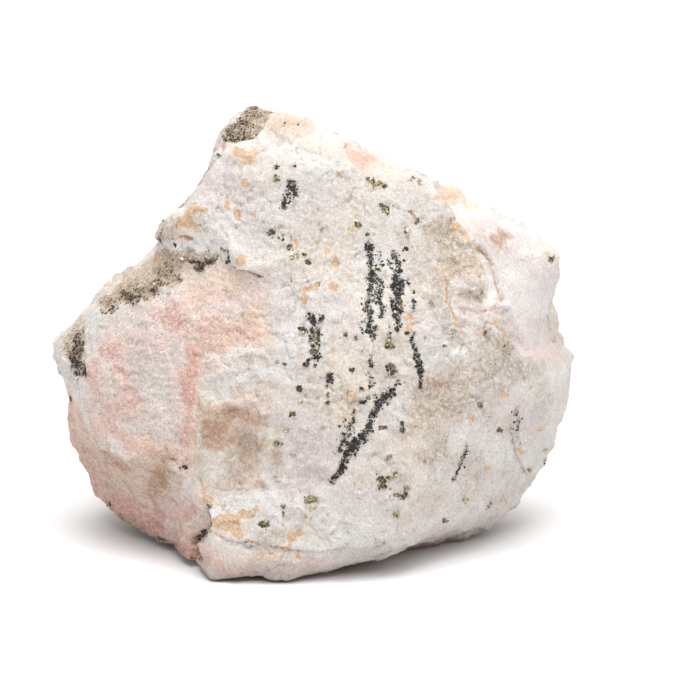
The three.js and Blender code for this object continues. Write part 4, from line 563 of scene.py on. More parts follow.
DARK = [
    ("line",[(4.66,15.84), (5.64,15.35), (6.62,14.8), (7.48,14.1)],0.065,0.07,0.82),
    ("line",[(-12.91,9.11), (-11.93,8.68), (-10.63,8.46), (-9.33,7.92)],0.076,0.09,0.8),
    ("line",[(-11.93,-20.72), (-9.54,-20.93), (-6.51,-21.8)],0.065,0.1,0.5),
    ("area",[(-20.93,10.52), (-20.39,10.85), (-17.9,10.85), (-15.73,10.74), (-14.21,10.3), (-14.21,9.98), (-14.97,9.54), (-15.51,8.89), (-16.27,8.46), (-17.03,8.89), (-17.79,8.89), (-18.11,8.03), (-18.33,7.38), (-19.31,6.83), (-20.61,6.4), (-21.15,5.64), (-22.67,5.42), (-23.1,4.77), (-24.08,5.1), (-25.27,6.18), (-24.73,6.83), (-23.32,7.59), (-22.02,8.68), (-21.48,9.54)],0,0.33,0.24),
    ("area",[(-14.1,22.99), (-13.67,23.54), (-13.02,24.51), (-11.93,25.49), (-10.85,26.36), (-10.2,26.79), (-9.54,26.36), (-8.46,25.81), (-9.11,24.84), (-9.87,23.75), (-10.41,22.99), (-11.93,22.72)],0,0.27,0.46),
    ("spot",[(-23.54,5.1)],(0.87,0.43),0.26,0.5), ("spot",[(-16.27,9.54)],(1.52,0.43),0.33,0.25), ("spot",[(-29.83,0.22)],(0.98,2.17),0.43,0.44),
    ("spot",[(-24.4,6.29)],(1.95,0.98),0.43,0.42), ("spot",[(-26.25,5.21)],(1.3,0.65),0.38,0.5), ("spot",[(-23.21,7.16)],(1.52,0.76),0.43,0.25),
    ("area",[(-20.61,10.95), (-19.31,11.17), (-18.44,10.85), (-18.66,9.54), (-19.74,8.89), (-20.61,9.54), (-20.93,10.3)],0,0.43,0.3),
    ("area",[(-18.66,10.85), (-17.14,10.95), (-15.4,10.85), (-14.21,10.41), (-14.53,9.87), (-15.62,9.54), (-16.7,9.54), (-17.79,9.76), (-18.44,10.41)],0,0.43,0.26),
    ("line",[(-17.79,9.76), (-16.92,9.54), (-15.62,9.44), (-14.75,9.87)],0.271,0.33,0.66), ("spot",[(-16.38,8.89)],(0.65,0.33),0.22,0.74),
    ("spot",[(-18.44,7.92)],(0.43,0.65),0.33,0.62), ("spot",[(-20.07,8.46)],(1.3,0.87),0.43,0.44), ("spot",[(-20.82,7.16)],(1.08,0.65),0.43,0.5),
    ("spot",[(-19.52,7.16)],(0.87,0.43),0.33,0.3), ("spot",[(-21.04,6.07)],(0.43,0.54),0.22,0.7), ("spot",[(-23.75,5.75)],(0.87,0.43),0.33,0.58),
    ("spot",[(-24.51,6.18)],(0.54,0.33),0.22,0.5), ("spot",[(-24.3,6.29)],(0.54,0.38),0.22,0.4), ("spot",[(-22.23,6.51)],(1.08,0.65),0.43,0.44),
    ("spot",[(-21.91,7.81)],(0.87,0.65),0.43,0.2), ("spot",[(-22.45,5.64)],(0.65,0.33),0.22,0.55), ("spot",[(-22.99,5.1)],(0.33,0.22),0.17,0.7),
    ("spot",[(-17.35,10.85)],(0.76,0.43),0.26,0.3),
    ("area",[(-13.99,23.1), (-13.67,23.86), (-12.8,24.73), (-11.71,25.38), (-10.85,24.95), (-10.63,23.43), (-11.93,22.89)],0,0.33,0.44),
    ("spot",[(-10.63,25.81)],(1.08,0.87),0.43,0.4), ("spot",[(-10.2,26.36)],(0.54,0.33),0.22,0.5), ("spot",[(-9.44,25.6)],(0.65,0.54),0.33,0.3),
    ("line",[(-13.77,22.99), (-12.36,22.78), (-10.41,22.99)],0.163,0.15,0.7), ("spot",[(-8.89,25.81)],(0.33,0.26),0.22,0.5),
    ("spot",[(-11.61,24.08)],(0.87,0.54),0.33,0.3), ("spot",[(-12.8,23.97)],(0.65,0.43),0.33,0.35), ("spot",[(-12.15,25.27)],(0.22,0.22),0.15,0.5),
    ("spot",[(-29.5,0.43)],(0.54,1.74),0.33,0.52), ("spot",[(-29.83,-1.52)],(0.65,0.76),0.26,0.62), ("spot",[(-29.18,-1.95)],(0.76,0.87),0.26,0.62),
    ("spot",[(-28.63,-2.49)],(0.54,0.54),0.22,0.6), ("spot",[(-29.61,-1.95)],(0.87,0.98),0.33,0.3), ("spot",[(-30.37,0.54)],(0.54,1.08),0.43,0.2),
    ("spot",[(-28.96,2.17)],(0.33,0.65),0.26,0.5), ("spot",[(-30.15,-0.76)],(0.43,0.76),0.26,0.6), ("spot",[(-29.39,-2.71)],(0.54,0.26),0.22,0.6),
    ("spot",[(-30.26,-5.53)],(0.24,0.26),0.11,1), ("line",[(-20.61,13.12), (-20.72,12.15), (-20.5,11.39)],0.163,0.17,0.7),
    ("spot",[(-20.07,12.04)],(0.33,0.54),0.22,0.35), ("spot",[(-19.09,11.43)],(0.26,0.15),0.09,1.2), ("spot",[(-13.18,10.3)],(0.13,0.54),0.11,0.9),
    ("spot",[(-13.23,9.65)],(0.22,0.33),0.11,1.1), ("line",[(-13.88,11.06), (-13.45,10.63), (-13.23,9.76)],0.087,0.1,0.8),
    ("line",[(-27.33,4.34), (-26.46,4.12), (-25.81,4.77)],0.108,0.11,0.8),
    ("line",[(-26.03,4.12), (-25.27,4.77), (-25.16,4.34), (-25.81,3.9)],0.098,0.11,0.8), ("spot",[(-26.9,4.23)],(0.22,0.22),0.13,0.8),
    ("spot",[(-28.09,5.21)],(0.33,0.43),0.22,0.4), ("line",[(-15.29,-17.03), (-15.62,-17.79), (-15.4,-18.66)],0.239,0.17,0.9),
    ("line",[(-15.51,-18.87), (-15.84,-19.52), (-15.4,-19.96), (-14.97,-19.41), (-15.29,-18.87)],0.195,0.15,0.8),
    ("line",[(-16.16,-20.17), (-16.81,-19.96), (-17.03,-20.61), (-16.49,-21.15), (-16.49,-22.02), (-16.05,-22.78)],0.249,0.17,0.85),
    ("spot",[(-15.94,-20.17)],(0.76,0.54),0.26,0.6), ("spot",[(-16.49,-21.91)],(0.54,1.08),0.33,0.35), ("spot",[(-18.0,-12.8)],(0.39,0.17),0.13,0.9),
    ("line",[(-18.44,-12.91), (-17.57,-12.58)],0.098,0.11,0.8), ("spot",[(-26.03,-16.81)],(0.54,0.26),0.15,0.8),
    ("spot",[(-20.82,-20.72)],(0.98,0.41),0.2,0.95), ("spot",[(-21.8,-20.17)],(0.76,0.3),0.17,0.75), ("spot",[(-24.95,-18.11)],(0.76,0.28),0.2,0.55),
    ("spot",[(-19.52,-21.26)],(0.87,0.33),0.2,0.7), ("line",[(-18.33,-22.56), (-16.81,-22.89)],0.184,0.15,0.7),
    ("line",[(-25.81,-17.14), (-23.86,-18.66), (-21.69,-20.17), (-19.09,-21.58)],0.184,0.17,0.4), ("spot",[(22.02,9.92)],(0.49,0.28),0.17,0.75),
    ("spot",[(21.58,10.41)],(0.43,0.33),0.22,0.35), ("line",[(21.58,3.69), (21.91,2.17), (22.13,0.87)],0.141,0.15,0.5),
    ("spot",[(11.06,1.84)],(0.76,0.54),0.33,0.42), ("spot",[(10.52,3.69)],(0.33,0.87),0.26,0.3), ("spot",[(14.75,1.74)],(0.43,0.33),0.22,0.5),
    ("line",[(14.53,1.52), (15.29,2.17)],0.108,0.13,0.6), ("spot",[(16.81,-0.22)],(0.87,0.65),0.33,0.4),
    ("spot",[(17.35,0.43)],(0.33,0.33),0.22,0.5), ("spot",[(15.84,-0.98)],(0.87,0.33),0.26,0.4), ("spot",[(11.06,-2.82)],(0.65,0.22),0.22,0.4),
    ("line",[(10.85,-3.25), (12.15,-3.69)],0.163,0.22,0.35), ("spot",[(6.83,18.55)],(0.33,0.26),0.15,0.7),
    ("spot",[(7.59,18.33)],(0.33,0.26),0.15,0.7), ("spot",[(6.4,18.11)],(0.22,0.22),0.13,0.6), ("spot",[(10.2,12.15)],(0.43,0.65),0.33,0.3),
    ("spot",[(11.06,13.45)],(0.22,0.65),0.22,0.35), ("spot",[(13.88,6.29)],(0.27,0.22),0.13,0.7), ("spot",[(10.85,5.21)],(0.22,0.22),0.13,0.5),
    ("spot",[(13.56,5.64)],(0.22,0.17),0.11,0.5),
]
# Painted shade: the upper front and scattered spots on the front darkened by a neutral grey; behind the stone the same
# zone is random duller patches.
DULL_AND_SHADE = [
    ("area",[(-12.36,21.04), (-9.54,21.69), (-5.42,21.91), (-0.54,19.96), (5.42,18.44), (10.3,15.84), (10.85,9.54), (7.59,6.51), (3.8,9.54), (-2.17,9.98), (-6.51,9.54), (-9.54,10.85), (-11.39,14.64), (-12.8,17.35)],0,1.74,0.85),
    ("spot",[(-8.46,15.4)],(2.82,2.17),0.98,0.35), ("spot",[(6.72,13.88)],(1.95,4.34),1.19,0.4), ("spot",[(-2.17,20.82)],(2.82,0.87),0.65,0.3),
    ("spot",[(-6.51,24.08)],(3.25,1.3),0.65,0.45), ("spot",[(-8.89,19.52)],(2.17,1.08),0.76,0.3), ("spot",[(-27.55,-1.3)],(1.08,1.74),0.76,0.6),
    ("spot",[(-22.56,0.54)],(2.82,2.82),1.08,0.5), ("spot",[(-6.72,2.71)],(1.52,1.52),0.76,0.6), ("spot",[(-11.93,-16.81)],(3.9,1.3),0.76,0.3),
    ("spot",[(-8.46,-21.15)],(3.04,1.19),0.65,0.4), ("spot",[(3.8,17.57)],(1.52,0.98),0.65,0.6), ("spot",[(6.29,11.82)],(2.17,1.52),0.87,0.95),
    ("spot",[(9.98,7.48)],(1.74,1.08),0.65,0.5), ("spot",[(3.8,2.17)],(2.17,1.74),0.76,0.5), ("spot",[(3.04,-1.95)],(1.3,1.52),0.65,0.6),
    ("spot",[(5.42,-4.99)],(1.52,1.3),0.65,0.6), ("spot",[(8.03,-8.03)],(1.3,1.3),0.65,0.6), ("spot",[(10.85,0.65)],(1.52,1.08),0.65,0.6),
    ("spot",[(16.49,1.08)],(1.08,1.3),0.54,0.5), ("spot",[(-0.54,-8.03)],(1.52,1.3),0.65,0.6), ("spot",[(-2.71,1.63)],(1.08,2.17),0.65,0.6),
    ("spot",[(3.8,-13.88)],(2.17,1.52),0.65,0.6), ("spot",[(-16.27,-12.8)],(1.52,3.25),0.87,0.4), ("spot",[(-17.35,2.71)],(2.6,1.3),0.76,0.5),
    ("spot",[(-14.53,-19.09)],(1.08,1.3),0.54,0.5), ("spot",[(-9.11,-18.87)],(1.3,1.08),0.54,0.6), ("spot",[(-7.59,19.74)],(2.82,1.08),0.65,0.5),
    ("spot",[(-0.54,20.39)],(1.52,0.87),0.54,0.5), ("spot",[(6.62,17.35)],(2.17,0.87),0.54,0.6), ("spot",[(2.17,-21.69)],(4.34,0.87),0.65,0.8),
    ("spot",[(-1.84,6.29)],(1.74,1.3),0.76,0.65), ("spot",[(-6.07,9.11)],(1.3,1.08),0.65,0.7), ("spot",[(5.21,0.65)],(1.3,1.08),0.65,0.9),
    ("spot",[(-3.25,3.47)],(0.87,1.3),0.54,0.5), ("spot",[(-23.54,-2.39)],(3.25,4.34),1.3,0.25), ("spot",[(-6.07,9.11)],(1.08,0.87),0.54,0.3),
    ("spot",[(-15.94,-10.63)],(1.74,1.3),0.65,0.7), ("spot",[(2.39,14.75)],(1.52,1.3),0.76,0.7), ("spot",[(-3.25,0.65)],(1.08,1.3),0.54,0.5),
    ("spot",[(-11.93,-19.09)],(1.52,1.08),0.54,0.5), ("spot",[(19.31,9.33)],(1.52,0.87),0.65,0.5), ("spot",[(-11.71,-8.03)],(1.52,1.08),0.54,0.4),
    ("spot",[(5.97,-20.61)],(1.74,1.08),0.65,0.5), ("spot",[(8.03,1.3)],(1.74,1.3),0.76,0.55), ("spot",[(13.12,3.36)],(1.3,0.87),0.54,0.5),
    ("spot",[(17.25,3.36)],(0.87,1.08),0.54,0.5), ("spot",[(-23.54,4.66)],(1.3,0.87),0.54,0.5), ("spot",[(-27.66,0.54)],(0.98,2.17),0.65,0.4),
    ("spot",[(-23.54,-7.7)],(1.3,1.08),0.65,0.4), ("spot",[(-17.35,-7.7)],(0.87,1.3),0.54,0.3), ("spot",[(-15.73,2.17)],(3.25,1.52),0.87,0.3),
    ("spot",[(-7.05,-3.8)],(1.08,1.74),0.65,0.4), ("spot",[(8.68,3.25)],(2.17,4.34),1.08,0.25), ("spot",[(13.02,9.76)],(2.17,3.25),1.08,0.3),
    ("spot",[(15.73,11.17)],(1.52,1.08),0.65,0.4),
]
VEIN_V = [
    ([(2.06,11.61),(2.17,10.63),(2.28,9.54),(2.49,8.46),(2.28,7.05),(2.06,5.97),(1.95,4.88),(2.17,3.8),(2.06,2.71),(2.28,1.95)],0.434,1.0),
    ([(1.95,11.61),(2.17,10.95)],0.38,1.0), ([(3.04,10.85),(3.47,9.54),(3.15,8.68)],0.271,0.55), ([(2.82,8.03),(3.58,7.16),(3.36,6.29)],0.271,0.75),
    ([(2.71,6.29),(2.93,5.1)],0.271,0.8), ([(3.25,6.72),(3.15,5.42),(3.58,4.34),(3.47,3.47)],0.325,0.85), ([(3.04,7.27),(2.82,6.29)],0.271,0.7),
    ([(1.41,3.47),(1.19,2.39),(1.52,1.74)],0.217,0.6), ([(2.28,1.95),(2.71,1.41),(2.39,0.98)],0.217,0.9), ([(2.82,2.17),(2.39,1.41)],0.217,0.8),
    ([(4.66,10.63),(4.99,9.98),(5.42,9.33),(5.31,8.68)],0.325,0.9), ([(4.45,10.3),(4.12,9.54),(4.56,8.89)],0.217,0.6),
    ([(4.99,8.46),(5.31,7.59),(4.99,6.72),(4.66,7.16)],0.434,0.95), ([(4.77,8.03),(5.64,7.16),(5.42,6.07)],0.434,1.0),
    ([(4.99,6.51),(5.1,5.42),(5.42,4.34),(5.1,3.47)],0.488,1.0), ([(4.56,5.42),(4.77,4.12),(5.21,3.25)],0.325,0.85),
    ([(4.99,3.47),(5.42,2.6),(4.99,2.28)],0.325,0.85), ([(6.07,13.23),(6.29,12.91)],0.271,0.9), ([(5.86,11.93),(6.29,12.36)],0.217,0.5),
    ([(5.64,11.5),(5.86,10.85)],0.217,0.55), ([(6.29,11.61),(6.07,10.95)],0.217,0.5), ([(6.62,11.39),(6.29,10.63)],0.163,0.4),
    ([(6.18,7.59),(6.4,7.16)],0.217,0.9), ([(6.62,6.51),(6.94,6.18)],0.217,0.8), ([(6.72,5.53),(7.05,5.1)],0.217,0.85),
    ([(6.51,4.77),(6.94,4.45),(6.72,4.23)],0.217,0.8), ([(5.86,1.95),(6.18,1.74)],0.163,0.7), ([(7.05,2.06),(6.72,1.41),(6.62,0.76)],0.195,0.95),
    ([(6.83,0.65),(7.05,0.0),(7.27,-0.87)],0.298,1.0), ([(7.05,-0.22),(7.48,-1.3),(7.7,-2.39)],0.352,0.95),
    ([(7.38,-1.74),(7.59,-2.82),(7.7,-4.12)],0.271,1.0), ([(7.7,-0.87),(7.81,-1.95)],0.163,0.5),
    ([(5.21,-3.15),(4.99,-3.9),(4.56,-4.34)],0.244,0.95), ([(4.66,-4.45),(4.12,-4.66),(3.69,-5.1)],0.434,1.15),
    ([(3.8,-4.99),(3.36,-5.53),(3.04,-5.97)],0.488,1.15), ([(3.15,-5.86),(2.82,-6.51),(2.49,-6.94)],0.434,1.1),
    ([(2.39,-6.94),(2.17,-7.59),(2.06,-8.35)],0.325,1.15), ([(2.06,-8.24),(1.84,-9.0),(1.3,-9.54)],0.461,1.15),
    ([(1.52,-9.33),(0.87,-9.87),(0.33,-10.41)],0.542,1.1), ([(0.76,-9.76),(0.22,-10.63),(-0.33,-11.39)],0.542,1.15),
    ([(0.0,-11.06),(-0.54,-11.93),(-0.87,-12.58)],0.434,1.1), ([(-0.76,-12.47),(-1.19,-13.12),(-1.52,-13.67)],0.352,1.1),
    ([(-1.52,-13.67),(-1.95,-14.43)],0.325,1.1), ([(-0.33,-8.68),(0.0,-8.13),(0.54,-7.81)],0.38,0.9),
    ([(-0.65,-9.54),(-0.33,-9.11),(-0.54,-9.98)],0.434,0.9), ([(3.25,-13.77),(3.58,-14.86)],0.325,0.7), ([(5.42,-15.62),(5.97,-15.84)],0.271,0.6),
    ([(-1.08,-8.46),(-0.43,-7.59)],0.217,0.5), ([(-1.52,-11.17),(-1.08,-10.63)],0.325,1.0), ([(-0.76,-10.09),(-1.19,-10.74)],0.217,0.8),
    ([(0.87,-10.63),(0.54,-11.28)],0.217,0.6), ([(4.23,-5.86),(3.9,-5.64)],0.239,0.95), ([(4.12,-5.1),(4.45,-5.42)],0.217,0.8),
    ([(-4.66,4.23),(-4.45,3.47),(-4.01,3.04)],0.298,0.9), ([(-4.12,3.69),(-3.8,2.71),(-3.9,2.06)],0.38,1.0),
    ([(-4.01,2.17),(-3.58,1.3),(-3.69,0.43)],0.461,1.15), ([(-3.8,0.65),(-3.69,-0.22),(-3.58,-0.87)],0.407,1.1),
    ([(-3.04,3.58),(-3.25,2.6),(-3.47,1.74)],0.217,0.85), ([(-3.36,3.04),(-2.93,3.69)],0.271,0.8), ([(-4.66,-1.41),(-4.77,-1.63)],0.271,1.0),
    ([(-3.8,-1.52),(-3.8,-1.84)],0.163,0.9), ([(-4.45,-0.87),(-4.66,-1.3)],0.217,0.9), ([(-6.62,18.22),(-6.07,17.9),(-6.18,17.46)],0.434,1.0),
    ([(-6.72,17.25),(-5.86,16.92)],0.434,1.0), ([(-6.72,17.03),(-7.05,16.49),(-7.16,15.84)],0.244,0.85), ([(-7.16,15.94),(-7.27,15.29)],0.195,0.8),
    ([(-5.97,20.28),(-5.86,19.96)],0.13,1.0), ([(-6.4,16.59),(-6.62,15.94)],0.163,0.4), ([(-2.28,-2.6),(-2.06,-3.25),(-2.49,-3.25)],0.298,1.0),
    ([(-2.6,-3.04),(-1.84,-3.36)],0.217,0.8), ([(1.08,-4.34),(1.3,-4.23)],0.325,1.0), ([(1.19,-5.53),(1.52,-5.75)],0.239,0.95),
    ([(1.84,-5.1),(2.06,-5.1)],0.163,0.9), ([(0.33,-6.4),(0.54,-6.62)],0.184,0.9), ([(2.17,-1.19),(2.28,-1.74)],0.271,1.0),
    ([(2.06,-0.76),(2.28,-0.87)],0.141,0.8), ([(2.06,-2.49),(2.17,-3.04)],0.271,0.7), ([(2.28,-3.47),(2.49,-3.9)],0.325,0.75),
    ([(4.12,-1.41),(4.23,-2.17)],0.298,0.85), ([(4.12,-2.39),(4.45,-2.71)],0.217,0.6), ([(3.15,-8.35),(3.58,-8.46)],0.244,1.0),
    ([(4.12,2.71),(4.23,1.84),(4.45,1.3)],0.184,0.85), ([(5.86,2.06),(6.07,1.84)],0.141,0.8), ([(7.38,14.1),(7.43,13.99)],0.141,1.0),
    ([(7.05,13.67),(7.16,13.67)],0.13,1.0), ([(-7.16,24.62),(-7.1,24.51)],0.13,1.0), ([(-5.64,24.51),(-5.59,24.46)],0.108,0.9),
    ([(-10.41,23.1),(-10.74,22.99)],0.163,1.0), ([(-14.21,21.26),(-14.21,20.93)],0.13,1.0), ([(-19.2,11.44),(-18.98,11.41)],0.13,1.0),
    ([(-13.23,9.98),(-13.18,9.44)],0.184,1.0), ([(12.8,-10.63),(12.26,-11.71),(11.82,-12.8)],0.271,0.9), ([(11.71,-13.02),(11.17,-14.1)],0.217,0.8),
    ([(17.9,-6.51),(18.11,-7.59),(18.0,-8.68)],0.244,0.9), ([(18.11,-9.11),(18.44,-10.2)],0.19,0.7), ([(15.4,-16.27),(14.97,-17.14)],0.163,0.7),
    ([(21.26,-11.71),(21.04,-12.58)],0.163,0.8), ([(-9.54,-18.66),(-9.11,-19.09)],0.163,0.2), ([(0.22,-10.74),(0.0,-10.09)],0.325,0.3),
]
VEIN_D = [
    ([(-18.0,9.98),(-16.92,9.54),(-15.84,9.33),(-14.75,9.87)],0.434,0.3), ([(-16.7,9.0),(-15.94,8.79)],0.325,0.5),
    ([(-18.44,8.46),(-18.22,7.59)],0.271,0.6), ([(-21.15,7.27),(-19.96,6.94)],0.38,0.5), ([(-21.26,6.29),(-20.82,5.75)],0.325,0.75),
    ([(-24.3,6.07),(-23.43,5.53)],0.38,0.75), ([(-22.99,5.86),(-21.69,6.51)],0.38,0.35), ([(-20.61,10.63),(-18.66,10.2)],0.434,0.3),
    ([(-20.61,9.11),(-18.87,8.24)],0.542,0.3), ([(-30.15,-1.3),(-28.85,-2.39)],0.542,0.42), ([(-29.61,1.95),(-29.39,-0.22)],0.38,0.35),
    ([(-13.88,23.21),(-11.93,23.43)],0.542,0.6), ([(-13.23,24.3),(-11.5,24.73)],0.651,0.4), ([(-26.25,4.99),(-23.64,6.29)],0.542,0.35),
    ([(-13.56,22.99),(-10.41,22.99)],0.163,0.6), ([(-11.93,24.95),(-9.54,25.38)],0.542,0.25), ([(-10.41,26.46),(-9.87,26.46)],0.217,0.8),
    ([(-17.79,10.85),(-15.18,10.63)],0.434,0.3), ([(-30.8,-2.39),(-30.69,-2.49)],0.184,1.0), ([(-32.0,-1.3),(-31.89,-1.52)],0.13,0.8),
    ([(-29.72,-3.15),(-29.61,-3.25)],0.184,0.9), ([(-30.31,-5.31),(-30.21,-5.75)],0.239,1.0), ([(-25.81,4.45),(-25.27,4.77)],0.141,0.6),
    ([(-26.9,4.34),(-26.68,4.23)],0.141,0.8), ([(-18.33,-12.91),(-17.68,-12.69)],0.163,0.7), ([(-15.51,-17.57),(-15.51,-18.44)],0.141,0.5),
    ([(-16.7,-20.28),(-15.94,-20.28)],0.163,0.3), ([(-21.04,-20.61),(-20.39,-20.93)],0.163,0.5),
]
PYRITE = [
    (14.1,-5.97,0.33,1), (16.27,-8.68,0.37,0), (12.47,-16.27,0.33,1), (19.52,-13.02,0.28,1), (17.14,-21.15,0.33,0), (10.3,-18.44,0.28,1),
    (13.02,-22.78,0.22,0), (21.15,-10.85,0.22,1), (-8.03,19.85,0.33,0), (-7.92,18.66,0.43,1), (-8.57,12.8,0.49,0), (-7.48,12.04,0.37,0),
    (-6.51,11.17,0.37,0), (-6.07,10.2,0.5,1), (-4.56,9.54,0.37,0), (-4.99,10.3,0.22,0), (2.39,18.33,0.37,1), (3.15,18.11,0.39,1),
    (3.69,17.79,0.33,0), (2.71,17.9,0.26,1), (3.36,15.73,0.28,0), (3.8,15.4,0.43,0), (3.9,14.97,0.26,1), (0.87,13.56,0.37,0), (1.84,12.47,0.22,0),
    (4.23,1.08,0.43,1), (4.23,0.43,0.5,0), (-4.99,2.17,0.43,0), (-5.31,2.28,0.33,0), (4.56,-1.74,0.37,0), (4.77,-2.39,0.43,0), (-5.53,-4.23,0.39,0),
    (-5.42,-5.53,0.2,0), (-6.29,-6.94,0.37,0), (-6.83,-8.68,0.24,1), (-7.81,-10.09,0.26,1), (-8.13,-10.2,0.22,1), (-7.38,-10.2,0.17,1),
    (3.69,-8.35,0.39,0), (5.64,-8.68,0.35,0), (5.64,-7.92,0.22,0), (4.23,-11.61,0.39,1), (3.36,-14.1,0.61,0), (3.58,-14.86,0.43,0),
    (4.56,-13.67,0.26,1), (4.99,-13.45,0.28,1), (4.12,-13.88,0.22,0), (6.18,-14.97,0.37,1), (5.42,-15.73,0.37,1), (5.86,-15.84,0.33,0),
    (4.88,-15.73,0.26,1), (4.99,-17.79,0.39,1), (-4.56,-16.38,0.43,1), (-4.12,-16.16,0.5,1), (-3.69,-16.27,0.37,1), (-7.27,-16.92,0.26,0),
    (-7.27,-17.57,0.15,0), (-7.16,-18.0,0.22,1), (-9.33,-18.87,0.69,0), (-9.11,-18.76,0.37,1), (8.79,5.1,0.22,1), (16.92,0.43,0.24,1),
    (0.22,-2.17,0.26,0), (-0.43,1.63,0.2,0), (0.65,1.3,0.2,0), (-2.28,-4.88,0.22,1), (-7.92,-1.3,0.17,1), (-7.05,-1.52,0.17,0), (-3.47,7.16,0.2,0),
    (-3.8,1.84,0.33,1), (-4.12,0.98,0.28,1), (-4.01,-0.22,0.33,1), (-3.58,0.33,0.26,1), (2.6,8.89,0.2,1), (2.28,5.42,0.2,1), (5.31,5.42,0.26,1),
    (5.53,4.56,0.22,1), (4.99,4.12,0.22,1), (3.04,2.49,0.22,1), (10.3,0.43,0.22,0), (-7.05,15.4,0.2,1), (6.18,13.02,0.2,1), (4.66,0.33,0.22,0),
    (-14.53,10.2,0.17,1), (-10.85,24.62,0.2,1), (-21.15,6.94,0.2,1), (-18.11,9.87,0.2,1), (-19.96,9.33,0.17,1), (-15.18,-19.63,0.17,1),
    (-20.5,-20.72,0.17,1), (2.06,18.44,0.22,1), (-2.39,-5.64,0.16,0),
]
FACE_B = [(-13.45,9.98),(-15.73,8.46),(-17.9,7.27),(-20.39,5.86),(-22.78,4.66),(-24.95,3.9),(-26.68,3.04),(-27.98,1.74),(-28.42,0.0),(-28.52,-2.39),(-29.28,-4.56),(-29.28,-6.72),(-28.42,-8.46),(-27.11,-10.09),(-25.6,-11.5),(-23.86,-12.15),(-21.69,-12.58),(-19.31,-13.02),(-17.35,-13.45),(-16.27,-12.15),(-16.7,-9.76),(-17.35,-7.05),(-16.7,-3.8),(-14.97,-1.63),(-12.47,-0.22),(-9.98,0.54),(-8.46,2.71),(-8.03,5.42),(-7.81,7.81),(-9.54,8.89),(-11.5,9.33)]
FACE_C = [(-30.59,-5.86),(-29.5,-7.38),(-28.2,-9.11),(-26.9,-10.63),(-25.6,-11.71),(-24.08,-12.26),(-21.69,-12.8),(-18.98,-13.34),(-17.35,-14.1),(-16.49,-15.73),(-15.73,-17.9),(-15.84,-21.15),(-16.7,-22.99),(-18.66,-22.34),(-20.61,-20.82),(-23.86,-18.87),(-26.68,-17.14),(-27.98,-14.75),(-29.28,-11.93),(-30.8,-9.33)]
FACE_F = [(10.85,15.51),(13.02,15.51),(15.18,15.94),(16.81,14.64),(19.52,13.56),(21.69,11.93),(23.43,10.2),(23.43,7.59),(22.34,5.42),(22.99,2.17),(24.95,-0.22),(22.78,-2.39),(19.52,-1.08),(18.0,0.87),(16.92,3.47),(16.05,4.77),(15.94,6.51),(15.51,8.68),(14.75,10.41),(13.67,11.93),(12.58,13.23),(11.5,14.53)]

# steps: the ground is raised on the left of the line as it runs; (line, height, reach)
STEPS = [
    ([(14.53,-11.06),(14.97,-8.68),(14.32,-6.51),(13.02,-4.88)],0.4,0.98),
    ([(18.44,-5.42),(17.57,-8.13),(18.22,-11.39),(19.52,-14.1)],0.4,0.98),
    ([(9.76,-20.61),(13.02,-19.52),(16.81,-19.74),(20.07,-17.9)],0.4,0.98),
    ([(-13.88,11.17),(-13.12,10.2),(-12.69,9.33),(-11.82,8.79),(-10.63,8.57),(-9.33,7.92)],0.4,1.19),
    ([(-7.92,5.42),(-8.13,3.47),(-8.89,1.08),(-9.54,-0.22)],0.1,1.95),
    ([(-20.5,11.17),(-19.96,11.39),(-19.2,11.61),(-18.0,12.26),(-17.14,12.04),(-16.27,11.5)],0.15,0.87),
    ([(-8.46,25.6),(-9.44,23.97),(-10.41,22.89),(-11.93,22.56),(-13.23,21.91),(-14.32,20.82)],0.7,1.08),
    ([(-8.57,23.97),(-8.03,23.43),(-7.05,22.78),(-5.64,22.45)],0.1,0.87),
    ([(-14.75,-19.74),(-13.23,-20.61),(-11.39,-20.93),(-9.54,-21.15),(-6.51,-21.69),(-3.25,-21.91),(-0.54,-21.48),(2.39,-21.15)],0.28,0.87),
    ([(-15.29,-16.92),(-15.62,-18.0),(-15.4,-19.09),(-15.84,-20.07),(-16.27,-21.15),(-15.94,-22.78)],0.8,1.3),
    ([(-29.5,-7.16),(-28.2,-9.11),(-26.68,-10.63),(-25.38,-11.82),(-23.86,-12.26),(-21.69,-12.69),(-18.98,-13.23),(-17.35,-13.88)],0.4,0.98),
    ([(14.21,5.1),(14.43,6.72),(14.53,8.24),(13.88,9.54),(13.23,10.85),(12.8,12.15),(12.04,13.23),(11.17,14.32),(10.63,15.62)],0.75,0.98),
    ([(11.5,4.56),(13.02,4.45),(14.64,4.56),(16.27,4.66),(17.57,4.45)],0.3,0.65),
    ([(13.02,1.52),(11.93,2.39),(11.06,3.9),(10.52,5.42),(10.41,7.05),(10.09,8.68)],0.35,0.87),
    ([(18.66,-0.43),(17.35,0.87),(16.27,2.17),(15.08,3.04),(14.32,1.52)],0.45,1.08),
    ([(-15.94,-6.29),(-14.75,-6.94),(-13.67,-6.72),(-12.58,-6.29),(-11.06,-6.07),(-9.33,-5.86)],0.16,0.87),
    ([(-28.85,2.39),(-28.63,0.0),(-28.52,-3.04)],0.35,0.65),
    ([(-15.94,-12.15),(-15.84,-13.88),(-16.49,-15.18)],0.12,0.98),
    ([(-7.59,-15.08),(-9.33,-15.62),(-11.39,-15.84),(-13.56,-15.4),(-15.62,-14.97)],0.1,0.76),
    ([(-1.08,6.29),(-2.6,6.94),(-4.12,6.51),(-4.88,5.42)],0.2,0.87),
    ([(10.52,15.84),(9.54,17.35),(8.68,19.31)],0.4,0.87),
    ([(4.56,18.66),(2.39,19.74),(0.22,20.61),(-0.54,21.69),(-2.17,22.45)],0.3,0.76),
]
